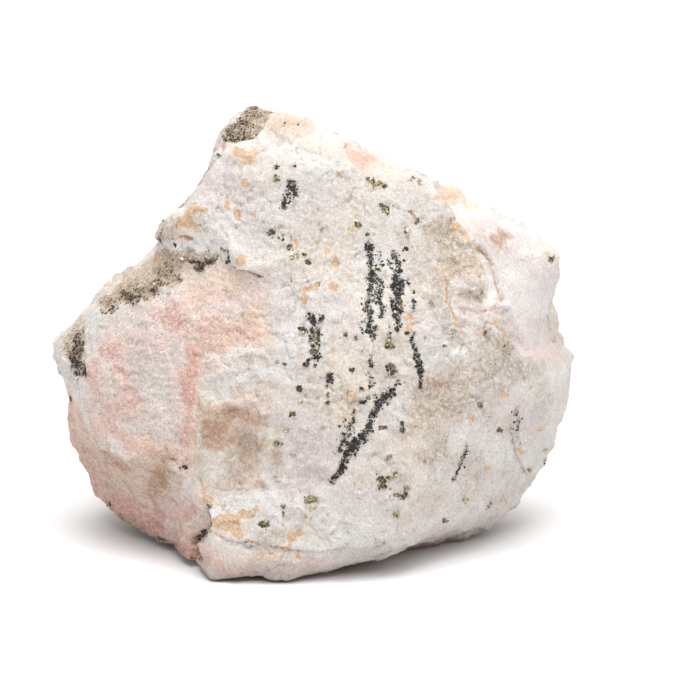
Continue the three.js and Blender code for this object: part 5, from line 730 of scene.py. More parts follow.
# ridges and grooves: (line, half width, height)
CREASES = [
    ([(-15.29,-16.92),(-15.73,-17.79),(-15.51,-18.87),(-15.94,-19.85),(-16.7,-20.39),(-17.03,-20.93),(-16.49,-21.69),(-16.16,-22.78)],0.271,-0.9),
    ([(13.02,13.45),(14.1,11.82),(14.86,10.3),(15.4,8.89),(15.62,7.38),(15.62,5.86),(15.08,5.1)],0.271,0.2),
    ([(14.21,11.28),(14.97,9.98),(15.62,8.68),(16.05,7.27),(16.05,5.75)],0.13,-0.34),
    ([(16.59,4.56),(17.25,3.04),(18.22,1.3),(19.74,-0.54)],0.325,-0.4),
    ([(12.15,4.01),(14.1,3.9)],0.119,-0.18),
    ([(12.8,4.45),(13.88,4.23)],0.108,-0.12),
    ([(4.66,15.84),(5.53,15.18),(6.51,14.64),(7.48,14.1)],0.065,-0.1),
    ([(-12.15,-0.65),(-10.85,-0.33),(-9.54,-0.33),(-8.89,-0.87),(-8.57,-1.74)],0.141,0.18),
    ([(-15.94,-3.04),(-14.97,-2.82),(-13.45,-2.39)],0.163,0.18),
    ([(-12.36,-10.63),(-11.93,-9.54),(-11.06,-9.11),(-10.09,-9.44),(-9.54,-10.52)],0.217,0.2),
    ([(-8.89,-8.13),(-8.46,-10.3),(-8.89,-13.02),(-9.54,-14.75)],0.325,0.25),
    ([(-26.9,-10.74),(-25.81,-11.82),(-24.08,-12.8)],0.217,-0.22),
    ([(-29.83,-3.15),(-29.39,-5.42),(-29.28,-7.16)],0.119,-0.35),
    ([(21.58,4.12),(21.91,2.6),(22.23,0.65)],0.163,-0.35),
    ([(-13.23,11.06),(-13.12,10.2),(-13.12,9.44)],0.119,-0.22),
    ([(-8.57,23.97),(-8.03,23.43),(-6.94,22.67)],0.098,-0.08),
    ([(-11.93,8.79),(-10.63,8.46),(-9.11,7.7)],0.108,-0.3),
    ([(-15.62,-14.97),(-13.56,-15.4),(-11.39,-15.84)],0.163,-0.08),
    ([(-11.5,-20.72),(-9.54,-20.93),(-6.29,-21.69)],0.108,-0.06),
    ([(-13.45,-10.2),(-12.15,-9.76),(-10.63,-9.33)],0.108,-0.12),
    ([(11.61,14.53),(12.58,13.99),(13.88,13.45)],0.108,-0.15),
    ([(-1.08,-11.39),(0.0,-13.02),(0.65,-14.97)],0.434,0.12),
    ([(8.68,9.76),(10.41,9.54),(12.15,9.98)],0.108,-0.12),
    ([(-6.94,-0.22),(-7.16,-1.95),(-6.29,-3.69),(-6.51,-5.42)],0.13,-0.12),
    ([(-21.69,-2.71),(-20.07,-3.04),(-18.66,-2.82)],0.087,0.08),
    ([(-22.13,-4.56),(-20.39,-4.77),(-18.66,-4.56)],0.087,0.08),
    ([(-22.56,-6.51),(-20.61,-6.62),(-18.87,-6.4)],0.087,0.08),
    ([(-15.73,-12.8),(-14.75,-12.58)],0.108,0.1),
    ([(-16.7,-4.99),(-15.84,-4.12)],0.108,-0.12),
    ([(-19.52,11.82),(-18.0,12.36),(-17.14,12.04)],0.098,-0.3),
    ([(-16.7,-14.1),(-17.35,-15.4),(-17.57,-16.81)],0.13,-0.12),
    ([(-18.0,-18.66),(-17.14,-18.44),(-16.27,-18.76)],0.217,0.2),
    ([(-14.64,-5.97),(-12.36,-5.53),(-9.54,-5.21)],0.108,0.1),
]
# hollows and swells: (centre, radii, height)
SWELLS = [
    ((6.51,-22.67),(3.9,1.41),-0.65),
    ((16.27,-13.02),(2.17,1.74),-0.3),
    ((13.02,-16.27),(1.95,1.3),0.25),
    ((20.61,-6.51),(1.52,1.95),-0.25),
    ((11.39,-11.39),(1.3,1.74),0.2),
    ((18.44,-20.61),(2.17,1.08),0.2),
    ((-14.86,-8.89),(2.06,1.74),-0.18),
    ((-11.71,-7.59),(2.6,0.98),-0.12),
    ((-10.74,-10.85),(0.98,1.84),-0.16),
    ((-11.71,-13.45),(2.6,1.74),-0.28),
    ((16.49,11.93),(1.19,0.87),-0.28),
    ((-4.12,-13.88),(3.04,1.3),-0.35),
    ((12.36,5.75),(0.98,0.65),-0.2),
    ((12.36,2.82),(0.65,0.54),-0.2),
    ((-8.68,16.81),(2.6,1.95),-0.2),
    ((-2.17,16.27),(2.82,2.17),-0.15),
    ((-5.42,8.68),(1.74,2.39),0.25),
    ((-3.25,19.52),(2.39,1.08),0.25),
    ((-11.93,21.15),(1.74,0.76),0.2),
    ((-16.81,14.64),(2.39,1.3),0.22),
    ((1.08,6.51),(1.08,4.34),-0.12),
    ((0.0,-5.42),(3.25,2.6),0.15),
    ((-13.02,-1.63),(1.95,1.3),0.2),
    ((-9.54,-18.44),(1.3,0.98),-0.2),
    ((-12.8,-18.87),(1.52,0.98),0.12),
    ((-5.42,-17.35),(1.52,1.08),0.18),
    ((3.25,-19.52),(3.25,1.3),0.15),
    ((-0.54,0.54),(2.17,1.3),-0.15),
    ((-6.51,1.08),(1.3,3.25),0.18),
    ((-25.81,0.33),(1.3,0.87),0.15),
    ((-21.15,0.54),(1.95,1.74),0.2),
    ((-20.82,-5.97),(1.95,3.25),-0.15),
    ((-17.35,-4.34),(0.87,3.25),0.15),
    ((8.68,6.51),(1.3,0.87),0.2),
    ((5.42,16.81),(2.82,1.3),0.15),
    ((10.85,2.17),(0.87,0.76),-0.25),
    ((8.68,1.08),(2.17,1.52),0.2),
    ((15.73,0.54),(1.95,1.08),-0.15),
    ((19.52,7.59),(2.82,1.95),0.15),
    ((20.61,2.17),(1.3,2.6),-0.15),
    ((-8.03,-12.47),(0.76,2.17),-0.25),
    ((4.88,-9.76),(1.52,1.3),-0.15),
    ((-16.27,-15.73),(0.98,0.98),0.25),
    ((-17.57,-14.64),(0.76,0.76),0.18),
]

# ---- mineral zones in front; dull, grey, white and tan also carry painted shade and light ----
zones = {"pink": lay(PINK, 0.8, 0.4, 1.6, True), "peach": lay(PEACH, 0.8, 0.4, 1.6, True), "lilac": lay(LILAC, 0.6, 0.25, 1.2), "grey": lay(GREY, 0.7, 0.4, 1.3),
         "cream": lay(CREAM, 0.9, 0.3, 1.2), "tan": lay(TAN, 0.55, 0.3, 1.3), "beige": lay(BEIGE, 0.5, 0.2, 1.3), "brown": lay(BROWN, 0.7, 0.4, 1.5),
         "ochre": lay(OCHRE, 0.2, 0.30, 1.1), "white": lay(WHITE, 0.5, 0.25, 1.2), "dark": lay(DARK, 0.25, 0.30, 1.3, True), "dull_and_shade": lay(DULL_AND_SHADE, 0.8, 0.3, 1.2)}
vein = lay([("line", pts, w * 1.05, 0.14, d) for pts, w, d in VEIN_V], 0.08, 0.12)
smooth_zone = lay([("area", FACE_F, 0, 0.5, 0.9), ("area", FACE_C, 0, 0.5, 0.85)], 0.3)
grain_zone = lay([("area", FACE_B, 0, 0.8, 0.75)], 0.4)
fibre_b = lay([("area", FACE_B, 0, 0.9, 1.0)], 0.5)
fibre_c = lay([("area", FACE_C, 0, 0.7, 1.0)], 0.3)

# ---- zones on the sides, back and underside, from bands through the stone ----
behind = 1 - shown
up_left = broad @ (np.array([-0.66, 0.10, 0.74]) / np.linalg.norm([-0.66, 0.10, 0.74]))
wander = fbm(V, 8.0, 201, 4)
patch_a, patch_b, patch_c = fbm(V, 9.0, 211, 4), fbm(V, 6.0, 223, 4), fbm(V, 4.0, 229, 4)
layer_1 = np.abs(V @ np.array([0.93, 0.30, 0.22]) - 3.0 + 1.8 * wander)
layer_2 = np.abs(V @ np.array([0.95, 0.25, 0.20]) + 13.0 + 1.5 * fbm(V, 7.0, 233, 4))
layer_3 = np.abs(V @ np.array([0.90, -0.30, 0.32]) - 21.0 + 1.6 * patch_b)
beads = smooth(-0.25, 0.35, fbm(V, 1.9, 239, 3))
crust = smooth(0.30, 0.75, up_left + 0.30 * patch_b) * smooth(20.0, 26.0, V[:, 2] + 2 * wander) * smooth(0.88, 1.0, behind)
rear = {
    "pink": smooth(-0.1, 0.65, patch_a + 0.25 - 0.02 * V[:, 0]) * 0.62 + 0.12,
    "peach": smooth(0.25, 0.7, fbm(V, 5.0, 241, 4)) * 0.5,
    "lilac": smooth(-0.2, 0.6, fbm(V, 7.0, 251, 4)) * 0.7,
    "grey": smooth(0.2, 0.7, patch_c) * 0.55,
    "cream": smooth(0.0, 0.6, fbm(V, 6.5, 257, 4)) * 0.6,
    "tan": np.maximum(crust * 0.8, smooth(0.35, 0.7, fbm(V, 7.5, 263, 5)) * 0.75),
    "beige": smooth(0.3, 0.8, fbm(V, 10.0, 269, 3)) * 0.5,
    "brown": smooth(0.48, 0.8, fbm(V, 5.0, 271, 4)) * 0.5,
    "ochre": smooth(0.50, 0.72, fbm(V, 2.6, 277, 4)) * 0.9,
    "white": smooth(0.15, 0.6, fbm(V, 6.0, 281, 4)) * 0.8,
    "dull_and_shade": smooth(-0.2, 0.6, fbm(V, 8.0, 287, 3)) * 0.6,
    "dark": crust * (0.18 + 0.42 * smooth(-0.1, 0.6, fbm(V, 2.2, 283, 4))),
}
rear_vein = np.maximum.reduce([smooth(1.15, 0.25, layer_1), 0.9 * smooth(0.9, 0.2, layer_2), 0.8 * smooth(0.7, 0.15, layer_3)]) * beads * smooth(-0.45, 0.1, wander)
for name in zones:
    zones[name] = np.clip(zones[name] + behind * rear[name], 0, 1.6)
vein = np.clip(vein + smooth(0.8, 1.0, behind) * rear_vein, 0, 1)
grain_zone = np.clip(grain_zone + behind * smooth(0.0, 0.5, patch_b) * 0.8, 0, 1)
granular = np.clip(np.maximum.reduce([0.95 * zones["dark"], 0.8 * zones["tan"], grain_zone * 0.75]), 0, 1)
chalky = np.clip(1 - smooth_zone - 0.7 * granular, 0, 1)

# ---- relief, in mm along the surface ----
rise = np.zeros(len(V))
q = UV + 0.18 * WARP


def beside(q, pts):
    """Distance to a line and which side of it: 1 on the left as it runs, -1 on the right; and how far along, 0 to 1."""
    best, side, along = np.full(len(q), 1e9), np.zeros(len(q)), np.zeros(len(q))
    n = len(pts) - 1
    for i, ((x1, y1), (x2, y2)) in enumerate(zip(pts[:-1], pts[1:])):
        dx, dy = x2 - x1, y2 - y1
        s = np.clip(((q[:, 0] - x1) * dx + (q[:, 1] - y1) * dy) / (dx * dx + dy * dy + 1e-9), 0, 1)
        d = np.hypot(q[:, 0] - x1 - s * dx, q[:, 1] - y1 - s * dy)
        near = d < best
        side = np.where(near, np.sign(dx * (q[:, 1] - y1) - dy * (q[:, 0] - x1)), side)
        along = np.where(near, (i + s) / n, along)
        best = np.minimum(best, d)
    return best, side, along


for pts, high, reach in STEPS:
    d, side, along = beside(q, pts)
    ends = smooth(0, 0.12, along) * smooth(1, 0.88, along)
    sharp = np.where(side > 0, smooth(-0.10, 0.22, d), -smooth(-0.10, 0.10, d))
    rise += shown * high * 0.5 * sharp * np.exp(-(d / reach) ** 2) * ends
for pts, half, high in CREASES:
    d, side, along = beside(q, pts)
    ends = smooth(0, 0.1, along) * smooth(1, 0.9, along)
    rise += shown * high * np.exp(-(d / (half * 1.2 + 0.05)) ** 2) * ends
for (cx, cy), (rx, ry), high in SWELLS:
    r = np.hypot((q[:, 0] - cx) / rx, (q[:, 1] - cy) / ry)
    rise += shown * high * smooth(1.25, 0.3, r)

stairs = fbm(V, 9.0, 301, 3) * 2.2
frac = stairs - np.floor(stairs)
terrace = smooth(0.35, 0.55, frac) - frac
g1, g2, g_own, _, _ = cells(V + 0.12 * WARP[:, [0, 1, 0]], 0.80, 331)
k1, k2, k_own, _, _ = cells(V, 0.50, 337)
grit = 0.085 * fbm(V, 0.85, 347, 3, 0.65) + 0.09 * (k_own - 0.5) * smooth(0, 0.15, k2 - k1)
rise += 0.16 * fbm(V, 4.0, 341, 3) * (0.55 + 0.45 * chalky)
patchy = 0.62 + 0.60 * smooth(-0.35, 0.45, fbm(V, 4.5, 379, 3))
rise += chalky * patchy * (0.08 * terrace + facets(V + 0.3 * WARP[:, [1, 0, 1]], 2.6, 311, 0.044, 0.3) + facets(V + 0.1 * FRAY[:, [0, 1, 0]], 1.2, 313, 0.074, 0.3) +
                  0.06 * (g_own - 0.5) * smooth(0.0, 0.3, g2 - g1) + grit)
rise += granular * (0.14 * (g_own - 0.5) * smooth(0.0, 0.3, g2 - g1) + 0.17 * (k_own - 0.5) * smooth(0, 0.2, k2 - k1) + 0.06 * fbm(V, 0.6, 349, 2) + facets(V, 1.6, 317, 0.06, 0.3))
rise += smooth_zone * (0.05 * fbm(V, 1.6, 353, 3) + 0.045 * fbm(V, 0.5, 359, 2) + 0.05 * (k_own - 0.5) + facets(V, 3.0, 319, 0.02, 0.2))
ripple = np.stack([UV[:, 0] * 0.24 + 0.10 * WARP[:, 0], UV[:, 1] + 0.25 * WARP[:, 1], 0.3 * V[:, 1]], 1)
slant = np.stack([(0.79 * UV[:, 0] - 0.61 * UV[:, 1]) * 0.20, 0.61 * UV[:, 0] + 0.79 * UV[:, 1] + 0.15 * WARP[:, 1], 0.3 * V[:, 1]], 1)
rise += fibre_b * (0.085 * fbm(ripple, 0.75, 371, 3, 0.6)) + fibre_c * (0.25 * fbm(slant, 0.9, 373, 3, 0.6))
rise += behind * (0.16 * terrace * (1 - crust) + 0.25 * fbm(V, 4.5, 361, 3) + facets(V + 0.5 * WARP[:, [0, 0, 1]], 3.4, 367, 0.05))
# How far each point lies below its neighbours, kept to paint shade into the hollows and creases.
hollow_shade = spread(rise, T, 10) - rise
hollow_fine_shade = spread(rise, T, 3) - rise

V = V + rise[:, None] * N
V[:, 2] = np.maximum(V[:, 2], 0.0)


# ------------------------------------------------------------- make the mesh ----
def mesh_from(name, verts_mm, tris):
    me = bpy.data.meshes.new(name)
    me.vertices.add(len(verts_mm))
    me.vertices.foreach_set("co", (verts_mm * MM).astype(np.float32).ravel())
    me.loops.add(len(tris) * 3)
    me.loops.foreach_set("vertex_index", tris.astype(np.int32).ravel())
    me.polygons.add(len(tris))
    me.polygons.foreach_set("loop_start", np.arange(0, len(tris) * 3, 3, dtype=np.int32))
    me.polygons.foreach_set("use_smooth", np.ones(len(tris), bool))
    me.update(calc_edges=True)
    me.validate()
    ob = bpy.data.objects.new(name, me)
    bpy.context.scene.collection.objects.link(ob)
    return ob


def give(ob, name, values):
    layer = ob.data.attributes.new(name, "FLOAT", "POINT")
    layer.data.foreach_set("value", values.astype(np.float32))


def thin(verts_mm, tris, keep):
    """Collapses the edges that matter least until a share of the triangles is left."""
    ob = mesh_from("thin", verts_mm, tris)
    ob.modifiers.new("thin", "DECIMATE").ratio = keep
    done = ob.evaluated_get(bpy.context.evaluated_depsgraph_get())
    me = done.to_mesh()
    me.calc_loop_triangles()
    v = np.zeros(len(me.vertices) * 3, np.float32)
    t = np.zeros(len(me.loop_triangles) * 3, np.int32)
    me.vertices.foreach_get("co", v)
    me.loop_triangles.foreach_get("vertices", t)
    done.to_mesh_clear()
    bpy.data.objects.remove(ob)
    return v.reshape(-1, 3).astype(float) / MM, t.reshape(-1, 3).astype(np.int64)


full, full_count = V, len(T)
V, T = thin(V, T, min(1.0, 194000 / len(T)))
V[:, 2] = np.maximum(V[:, 2], 0.0)
near = KDTree(len(full))
for k, p in enumerate(full.tolist()):
    near.insert(p, k)
near.balance()
own = np.array([near.find(p)[1] for p in V.tolist()])
zones = {name: values[own] for name, values in zones.items()}
vein, smooth_zone, granular, hollow_shade, hollow_fine_shade, behind, crust, rear_vein, fibre_b, fibre_c = (x[own] for x in (vein, smooth_zone, granular, hollow_shade, hollow_fine_shade, behind, crust, rear_vein, fibre_b, fibre_c))
N = normals_of(V, T)

rock = mesh_from("rock", V, T)
for name, values in zones.items():
    give(rock, name, values)
give(rock, "vein", vein)
give(rock, "smooth_zone", smooth_zone)
give(rock, "granular", granular)
give(rock, "fibre_b", fibre_b)
give(rock, "fibre_c", fibre_c)
# painted shade for the hollows and creases, stored on the rock for its material
give(rock, "hollow_shade", np.clip(hollow_shade * 4.0, -1, 1))
give(rock, "hollow_fine_shade", np.clip(hollow_fine_shade * 8.0, -1, 1))
print("rock triangles", full_count, len(T))

# ---------------------------------------------------------------- the grains ----
rng = np.random.default_rng(20773)
tree = BVHTree.FromPolygons([Vector(v) for v in V], [tuple(t) for t in T.tolist()])
PHI = (1 + 5 ** 0.5) / 2
ICO = np.array([[-1, PHI, 0], [1, PHI, 0], [-1, -PHI, 0], [1, -PHI, 0], [0, -1, PHI], [0, 1, PHI], [0, -1, -PHI], [0, 1, -PHI],
                [PHI, 0, -1], [PHI, 0, 1], [-PHI, 0, -1], [-PHI, 0, 1]]) / math.hypot(1, PHI)
ICO_T = np.array([[0, 11, 5], [0, 5, 1], [0, 1, 7], [0, 7, 10], [0, 10, 11], [1, 5, 9], [5, 11, 4], [11, 10, 2], [10, 7, 6], [7, 1, 8],
                  [3, 9, 4], [3, 4, 2], [3, 2, 6], [3, 6, 8], [3, 8, 9], [4, 9, 5], [2, 4, 11], [6, 2, 10], [8, 6, 7], [9, 8, 1]])
CUBE = np.array([[x, y, z] for x in (-1, 1) for y in (-1, 1) for z in (-1, 1)], float)
CUBE_T = np.array([[0, 1, 3], [0, 3, 2], [4, 6, 7], [4, 7, 5], [0, 4, 5], [0, 5, 1], [2, 3, 7], [2, 7, 6], [0, 2, 6], [0, 6, 4], [1, 5, 7], [1, 7, 3]])


def turned(count):
    a = rng.normal(size=(count, 4))
    a /= np.linalg.norm(a, axis=1)[:, None]
    w, x, y, z = a.T
    return np.stack([np.stack([1 - 2 * (y * y + z * z), 2 * (x * y - z * w), 2 * (x * z + y * w)], 1),
                     np.stack([2 * (x * y + z * w), 1 - 2 * (x * x + z * z), 2 * (y * z - x * w)], 1),
                     np.stack([2 * (x * z - y * w), 2 * (y * z + x * w), 1 - 2 * (x * x + y * y)], 1)], 1)


def grains(name, places, radii, shape, shape_t, squash=0.3, jitter=0.16, tones=None):
    n = len(places)
    body = shape[None] * (1 + jitter * rng.normal(size=(n, len(shape), 1)).clip(-2, 2))
    body = body * (1 + squash * rng.uniform(-1, 1, size=(n, 1, 3)))
    body = np.einsum("nij,nkj->nki", turned(n), body) * np.asarray(radii)[:, None, None]
    verts = (body + np.asarray(places)[:, None, :])
    verts[:, :, 2] = np.maximum(verts[:, :, 2], 0.0)
    tris = (shape_t[None] + (np.arange(n) * len(shape))[:, None, None]).reshape(-1, 3)
    ob = mesh_from(name, verts.reshape(-1, 3), tris)
    ob.data.polygons.foreach_set("use_smooth", np.zeros(len(tris), bool))
    tone = np.repeat(rng.uniform(0, 1, n) if tones is None else np.array(tones), len(shape))
    give(ob, "tone", tone)
    return ob


def on_surface(u, v):
    """The point of the rock that the camera sees at (u, v) in its plane, and the outward normal there."""
    d = FORWARD + u / DISTANCE * np.array([1.0, 0, 0]) + v / DISTANCE * UPWARD
    hit = tree.ray_cast(Vector(EYE), Vector(d))
    return (None, None) if hit[0] is None else (np.array(hit[0]), np.array(hit[1]))


black_at, black_r = [], []


def scatter_line(pts, half, dens, size, gap, keep=0.0):
    length = sum(math.hypot(b[0] - a[0], b[1] - a[1]) for a, b in zip(pts[:-1], pts[1:])) + half
    count = int(round(dens * length * 2 * half / gap ** 2)) + 1
    for _ in range(count):
        s = rng.uniform(0, 1) * (length)
        run = 0.0
        for a, b in zip(pts[:-1], pts[1:]):
            seg = math.hypot(b[0] - a[0], b[1] - a[1])
            if run + seg >= s or (a, b) == (pts[-2], pts[-1]):
                t = min(max((s - run) / (seg + 1e-9), 0), 1.0)
                off = rng.normal() * 0.48 * half
                u = a[0] + t * (b[0] - a[0]) - off * (b[1] - a[1]) / (seg + 1e-9) + rng.normal() * 0.05
                v = a[1] + t * (b[1] - a[1]) + off * (b[0] - a[0]) / (seg + 1e-9) + rng.normal() * 0.05
                break
            run += seg
        if noise(np.array([[u, v, 4.0]]), 0.8, 401)[0] < keep + rng.uniform(-0.3, 0.3):
            continue
        p, n = on_surface(u, v)
        if p is None:
            continue
        r = size * (0.55 + 1.15 * rng.uniform(0, 1) ** 2.2)
        black_at.append(p - n * r * rng.uniform(0.05, 0.45))
        black_r.append(r)


for pts, half, dens in VEIN_V:
    scatter_line(pts, half * 1.3, dens, 0.115, 0.19, -0.25)
for pts, half, dens in VEIN_D:
    scatter_line(pts, half, dens, 0.085, 0.26, -0.1)

# behind, wherever the sulphide layers or the dark crust come out
area_w = np.clip(smooth(0.75, 1.0, behind) * (rear_vein ** 1.5 + 0.10 * crust * zones["dark"]), 0, 1)
pick = rng.uniform(size=len(V)) < 0.30 * area_w
for k in np.nonzero(pick)[0]:
    r = 0.13 * rng.uniform(0.5, 1.3)
    black_at.append(V[k] - N[k] * r * rng.uniform(0.05, 0.4))
    black_r.append(r)

gold_at, gold_r, gold_tone, dark_at, dark_r = [], [], [], [], []
for u0, v0, r0, bright in PYRITE:
    for _ in range(int(1 + 2 * r0 / 0.3)):
        a, d = rng.uniform(0, 2 * math.pi), r0 * rng.uniform(0.7, 1.35)
        p, n = on_surface(u0 + d * math.cos(a), v0 + d * math.sin(a))
        if p is not None:
            r = rng.uniform(0.05, 0.10)
            dark_at.append(p - n * r * rng.uniform(0.0, 0.4))
            dark_r.append(r)
    long = rng.uniform(0.6, 1.0)
    for _ in range(int(4 + 34 * r0 * r0 * 3)):
        a, d = rng.uniform(0, 2 * math.pi), r0 * math.sqrt(rng.uniform(0, 1)) * 0.85
        p, n = on_surface(u0 + d * math.cos(a), v0 + long * d * math.sin(a))
        if p is None:
            continue
        r = rng.uniform(0.05, 0.13) * (1.15 if bright else 0.9)
        gold_at.append(p - n * r * rng.uniform(-0.2, 0.5))
        gold_r.append(r)
        gold_tone.append(rng.uniform(0.25, 0.95) if bright else rng.uniform(0.0, 0.5))
spots = rng.uniform(size=len(V)) < 0.0009 * smooth(0.88, 1.0, behind)
for k in np.nonzero(spots)[0]:
    for _ in range(rng.integers(3, 12)):
        r = rng.uniform(0.05, 0.13)
        tangent = rng.normal(size=3) * 0.22
        tangent -= N[k] * (tangent @ N[k])
        near = tree.find_nearest(Vector(V[k] + tangent))
        gold_at.append(np.array(near[0]) - np.array(near[1]) * r * 0.3)
        gold_r.append(r)
        gold_tone.append(rng.uniform(0, 0.8))
black = grains("black_sulphide_grains", black_at + dark_at, black_r + dark_r, ICO, ICO_T)
print("black grains", len(black_r) + len(dark_r))
gold = grains("pyrite_grains", gold_at, gold_r, CUBE, CUBE_T, 0.35, 0.10, gold_tone)
print("pyrite grains", len(gold_r))


# ------------------------------------------------------------------ materials ----
class Nodes:
    """A short way to write a shader."""

    def __init__(self, name):
        self.mat = bpy.data.materials.new(name)
        self.mat.use_nodes = True
        self.tree = self.mat.node_tree
        self.tree.nodes.clear()
        self.out = self.tree.nodes.new("ShaderNodeOutputMaterial")
        self.shader = self.tree.nodes.new("ShaderNodeBsdfPrincipled")
        self.tree.links.new(self.shader.outputs[0], self.out.inputs[0])
        self.coords = self.tree.nodes.new("ShaderNodeTexCoord").outputs["Object"]

    def put(self, socket, value):
        if hasattr(value, "is_output"):
            self.tree.links.new(value, socket)
        elif value is not None:
            socket.default_value = value

    def attr(self, name):
        n = self.tree.nodes.new("ShaderNodeAttribute")
        n.attribute_name = name
        return n.outputs["Fac"]

    def split_z(self):
        """Height above the ground, in mm."""
        n = self.tree.nodes.new("ShaderNodeSeparateXYZ")
        self.tree.links.new(self.coords, n.inputs[0])
        return self.math("MULTIPLY", n.outputs[2], 1.0 / MM)

    def noise(self, wave_mm, detail=3.0, rough=0.55, distortion=0.0, shift=0.0, stretch=None, turn=0.0):
        vec = self.coords
        if shift or stretch:
            m = self.tree.nodes.new("ShaderNodeMapping")
            m.inputs["Location"].default_value = (shift, shift * 1.7, -shift)
            if stretch:
                m.inputs["Scale"].default_value = stretch
                m.inputs["Rotation"].default_value = (0.0, math.radians(turn), 0.0)
            self.tree.links.new(vec, m.inputs["Vector"])
            vec = m.outputs[0]
        n = self.tree.nodes.new("ShaderNodeTexNoise")
        self.tree.links.new(vec, n.inputs["Vector"])
        n.inputs["Scale"].default_value = 1.0 / (wave_mm * MM)
        n.inputs["Detail"].default_value = detail
        n.inputs["Roughness"].default_value = rough
        n.inputs["Distortion"].default_value = distortion
        return n.outputs["Fac"]

    def voronoi(self, wave_mm, feature="F1", out="Distance"):
        n = self.tree.nodes.new("ShaderNodeTexVoronoi")
        n.feature = feature
        self.tree.links.new(self.coords, n.inputs["Vector"])
        n.inputs["Scale"].default_value = 1.0 / (wave_mm * MM)
        return n.outputs[out]

    def math(self, op, a, b=None, c=None, clamp=False):
        n = self.tree.nodes.new("ShaderNodeMath")
        n.operation = op
        n.use_clamp = clamp
        self.put(n.inputs[0], a)
        self.put(n.inputs[1], b)
        if c is not None:
            self.put(n.inputs[2], c)
        return n.outputs[0]

    def ramp(self, x, lo, hi, to_lo=0.0, to_hi=1.0, soft=True):
        n = self.tree.nodes.new("ShaderNodeMapRange")
        n.interpolation_type = "SMOOTHSTEP" if soft else "LINEAR"
        self.put(n.inputs["Value"], x)
        n.inputs["From Min"].default_value = lo
        n.inputs["From Max"].default_value = hi
        n.inputs["To Min"].default_value = to_lo
        n.inputs["To Max"].default_value = to_hi
        return n.outputs[0]

    def mix(self, fac, a, b, blend="MIX"):
        n = self.tree.nodes.new("ShaderNodeMix")
        n.data_type = "RGBA"
        n.blend_type = blend
        self.put(n.inputs[0], fac)
        self.put(n.inputs[6], a)
        self.put(n.inputs[7], b)
        return n.outputs[2]

    def bump(self, height, distance_mm, strength=1.0, below=None):
        n = self.tree.nodes.new("ShaderNodeBump")
        self.put(n.inputs["Strength"], strength)
        n.inputs["Distance"].default_value = distance_mm * MM
        self.put(n.inputs["Height"], height)
        if below is not None:
            self.tree.links.new(below, n.inputs["Normal"])
        return n.outputs[0]


def srgb(r, g, b, tone=0.80):
    """A colour by its 0-255 values, taken down to the stone's own reflectance."""
    return tuple(tone * ((c / 255) / 12.92 if c / 255 <= 0.04045 else ((c / 255 + 0.055) / 1.055) ** 2.4) for c in (r, g, b)) + (1.0,)


m = Nodes("rock_minerals")
A = m.attr
n_big, n_mid, n_fine, n_grit = m.noise(5.0, 4), m.noise(1.6, 4, 0.6, 0.3, 0.01), m.noise(0.55, 4, 0.62, 0.0, 0.02), m.noise(0.2, 3, 0.6, 0.0, 0.03)
n_edge = m.noise(0.42, 4, 0.7, 0.4, 0.05)
wobble = m.math("MULTIPLY", m.math("SUBTRACT", n_edge, 0.5), 0.9)
drift = m.math("MULTIPLY", m.math("SUBTRACT", m.noise(1.3, 4, 0.65, 0.6, 0.06), 0.5), 1.3)
n_frost = m.noise(0.38, 4, 0.7, 0.3, 0.11)
n_patch = m.noise(3.4, 3, 0.55, 0.6, 0.27)


def soft_mask(name, gain=1.0, rag=0.5, cover=1.0):
    """A zone with a ragged but gradual edge."""
    x = m.math("MULTIPLY_ADD", A(name), gain, m.math("MULTIPLY", wobble, rag))
    x = m.math("ADD", x, m.math("MULTIPLY", drift, rag))
    x = m.math("MULTIPLY", x, m.ramp(A(name), 0.02, 0.25))
    return m.math("MULTIPLY", m.math("MAXIMUM", m.math("MINIMUM", x, 1.0), 0.0), cover)


def crisp_mask(name, lo=0.42, hi=0.56, rag=0.8):
    """A spot with a hard ragged edge."""
    return m.ramp(m.math("ADD", A(name), m.math("MULTIPLY", wobble, rag)), lo, hi)


WHITE_C, CHALK_C = srgb(238, 235, 231), srgb(227, 219, 213)
col = m.mix(m.ramp(n_mid, 0.32, 0.68), CHALK_C, WHITE_C)
col = m.mix(soft_mask("lilac", 1.0, 0.45, 0.85), col, srgb(222, 206, 206))
# grey patches, one of them painted shade
col = m.mix(soft_mask("grey", 1.0, 0.6, 0.8), col, srgb(210, 205, 200))
col = m.mix(soft_mask("cream", 1.0, 0.8, 0.57), col, m.mix(n_fine, srgb(208, 188, 164), srgb(228, 211, 191)))
pink_c = m.mix(m.ramp(m.math("ADD", A("pink"), m.math("MULTIPLY", drift, 0.6)), 0.2, 1.15), m.mix(n_mid, srgb(246, 222, 214), srgb(240, 210, 200)), m.mix(n_fine, srgb(209, 157, 143), srgb(236, 193, 179)))
col = m.mix(m.ramp(m.math("ADD", m.math("ADD", A("pink"), m.math("MULTIPLY", wobble, 0.3)), m.math("MULTIPLY", drift, 0.3)), 0.02, 0.62), col, pink_c)
col = m.mix(soft_mask("peach", 1.0, 0.6, 0.75), col, m.mix(n_fine, srgb(234, 196, 164), srgb(246, 218, 194)))
col = m.mix(soft_mask("beige", 1.0, 0.4, 0.8), col, m.mix(n_mid, srgb(192, 172, 146), srgb(212, 194, 168)))
# tan patches, partly painted shade at the lower right
col = m.mix(soft_mask("tan", 1.0, 0.9, 0.8), col, m.mix(m.ramp(n_fine, 0.35, 0.65), srgb(160, 138, 114), srgb(210, 188, 164)))
col = m.mix(soft_mask("brown", 1.0, 0.6, 0.8), col, m.mix(n_fine, srgb(170, 129, 100), srgb(202, 163, 132)))
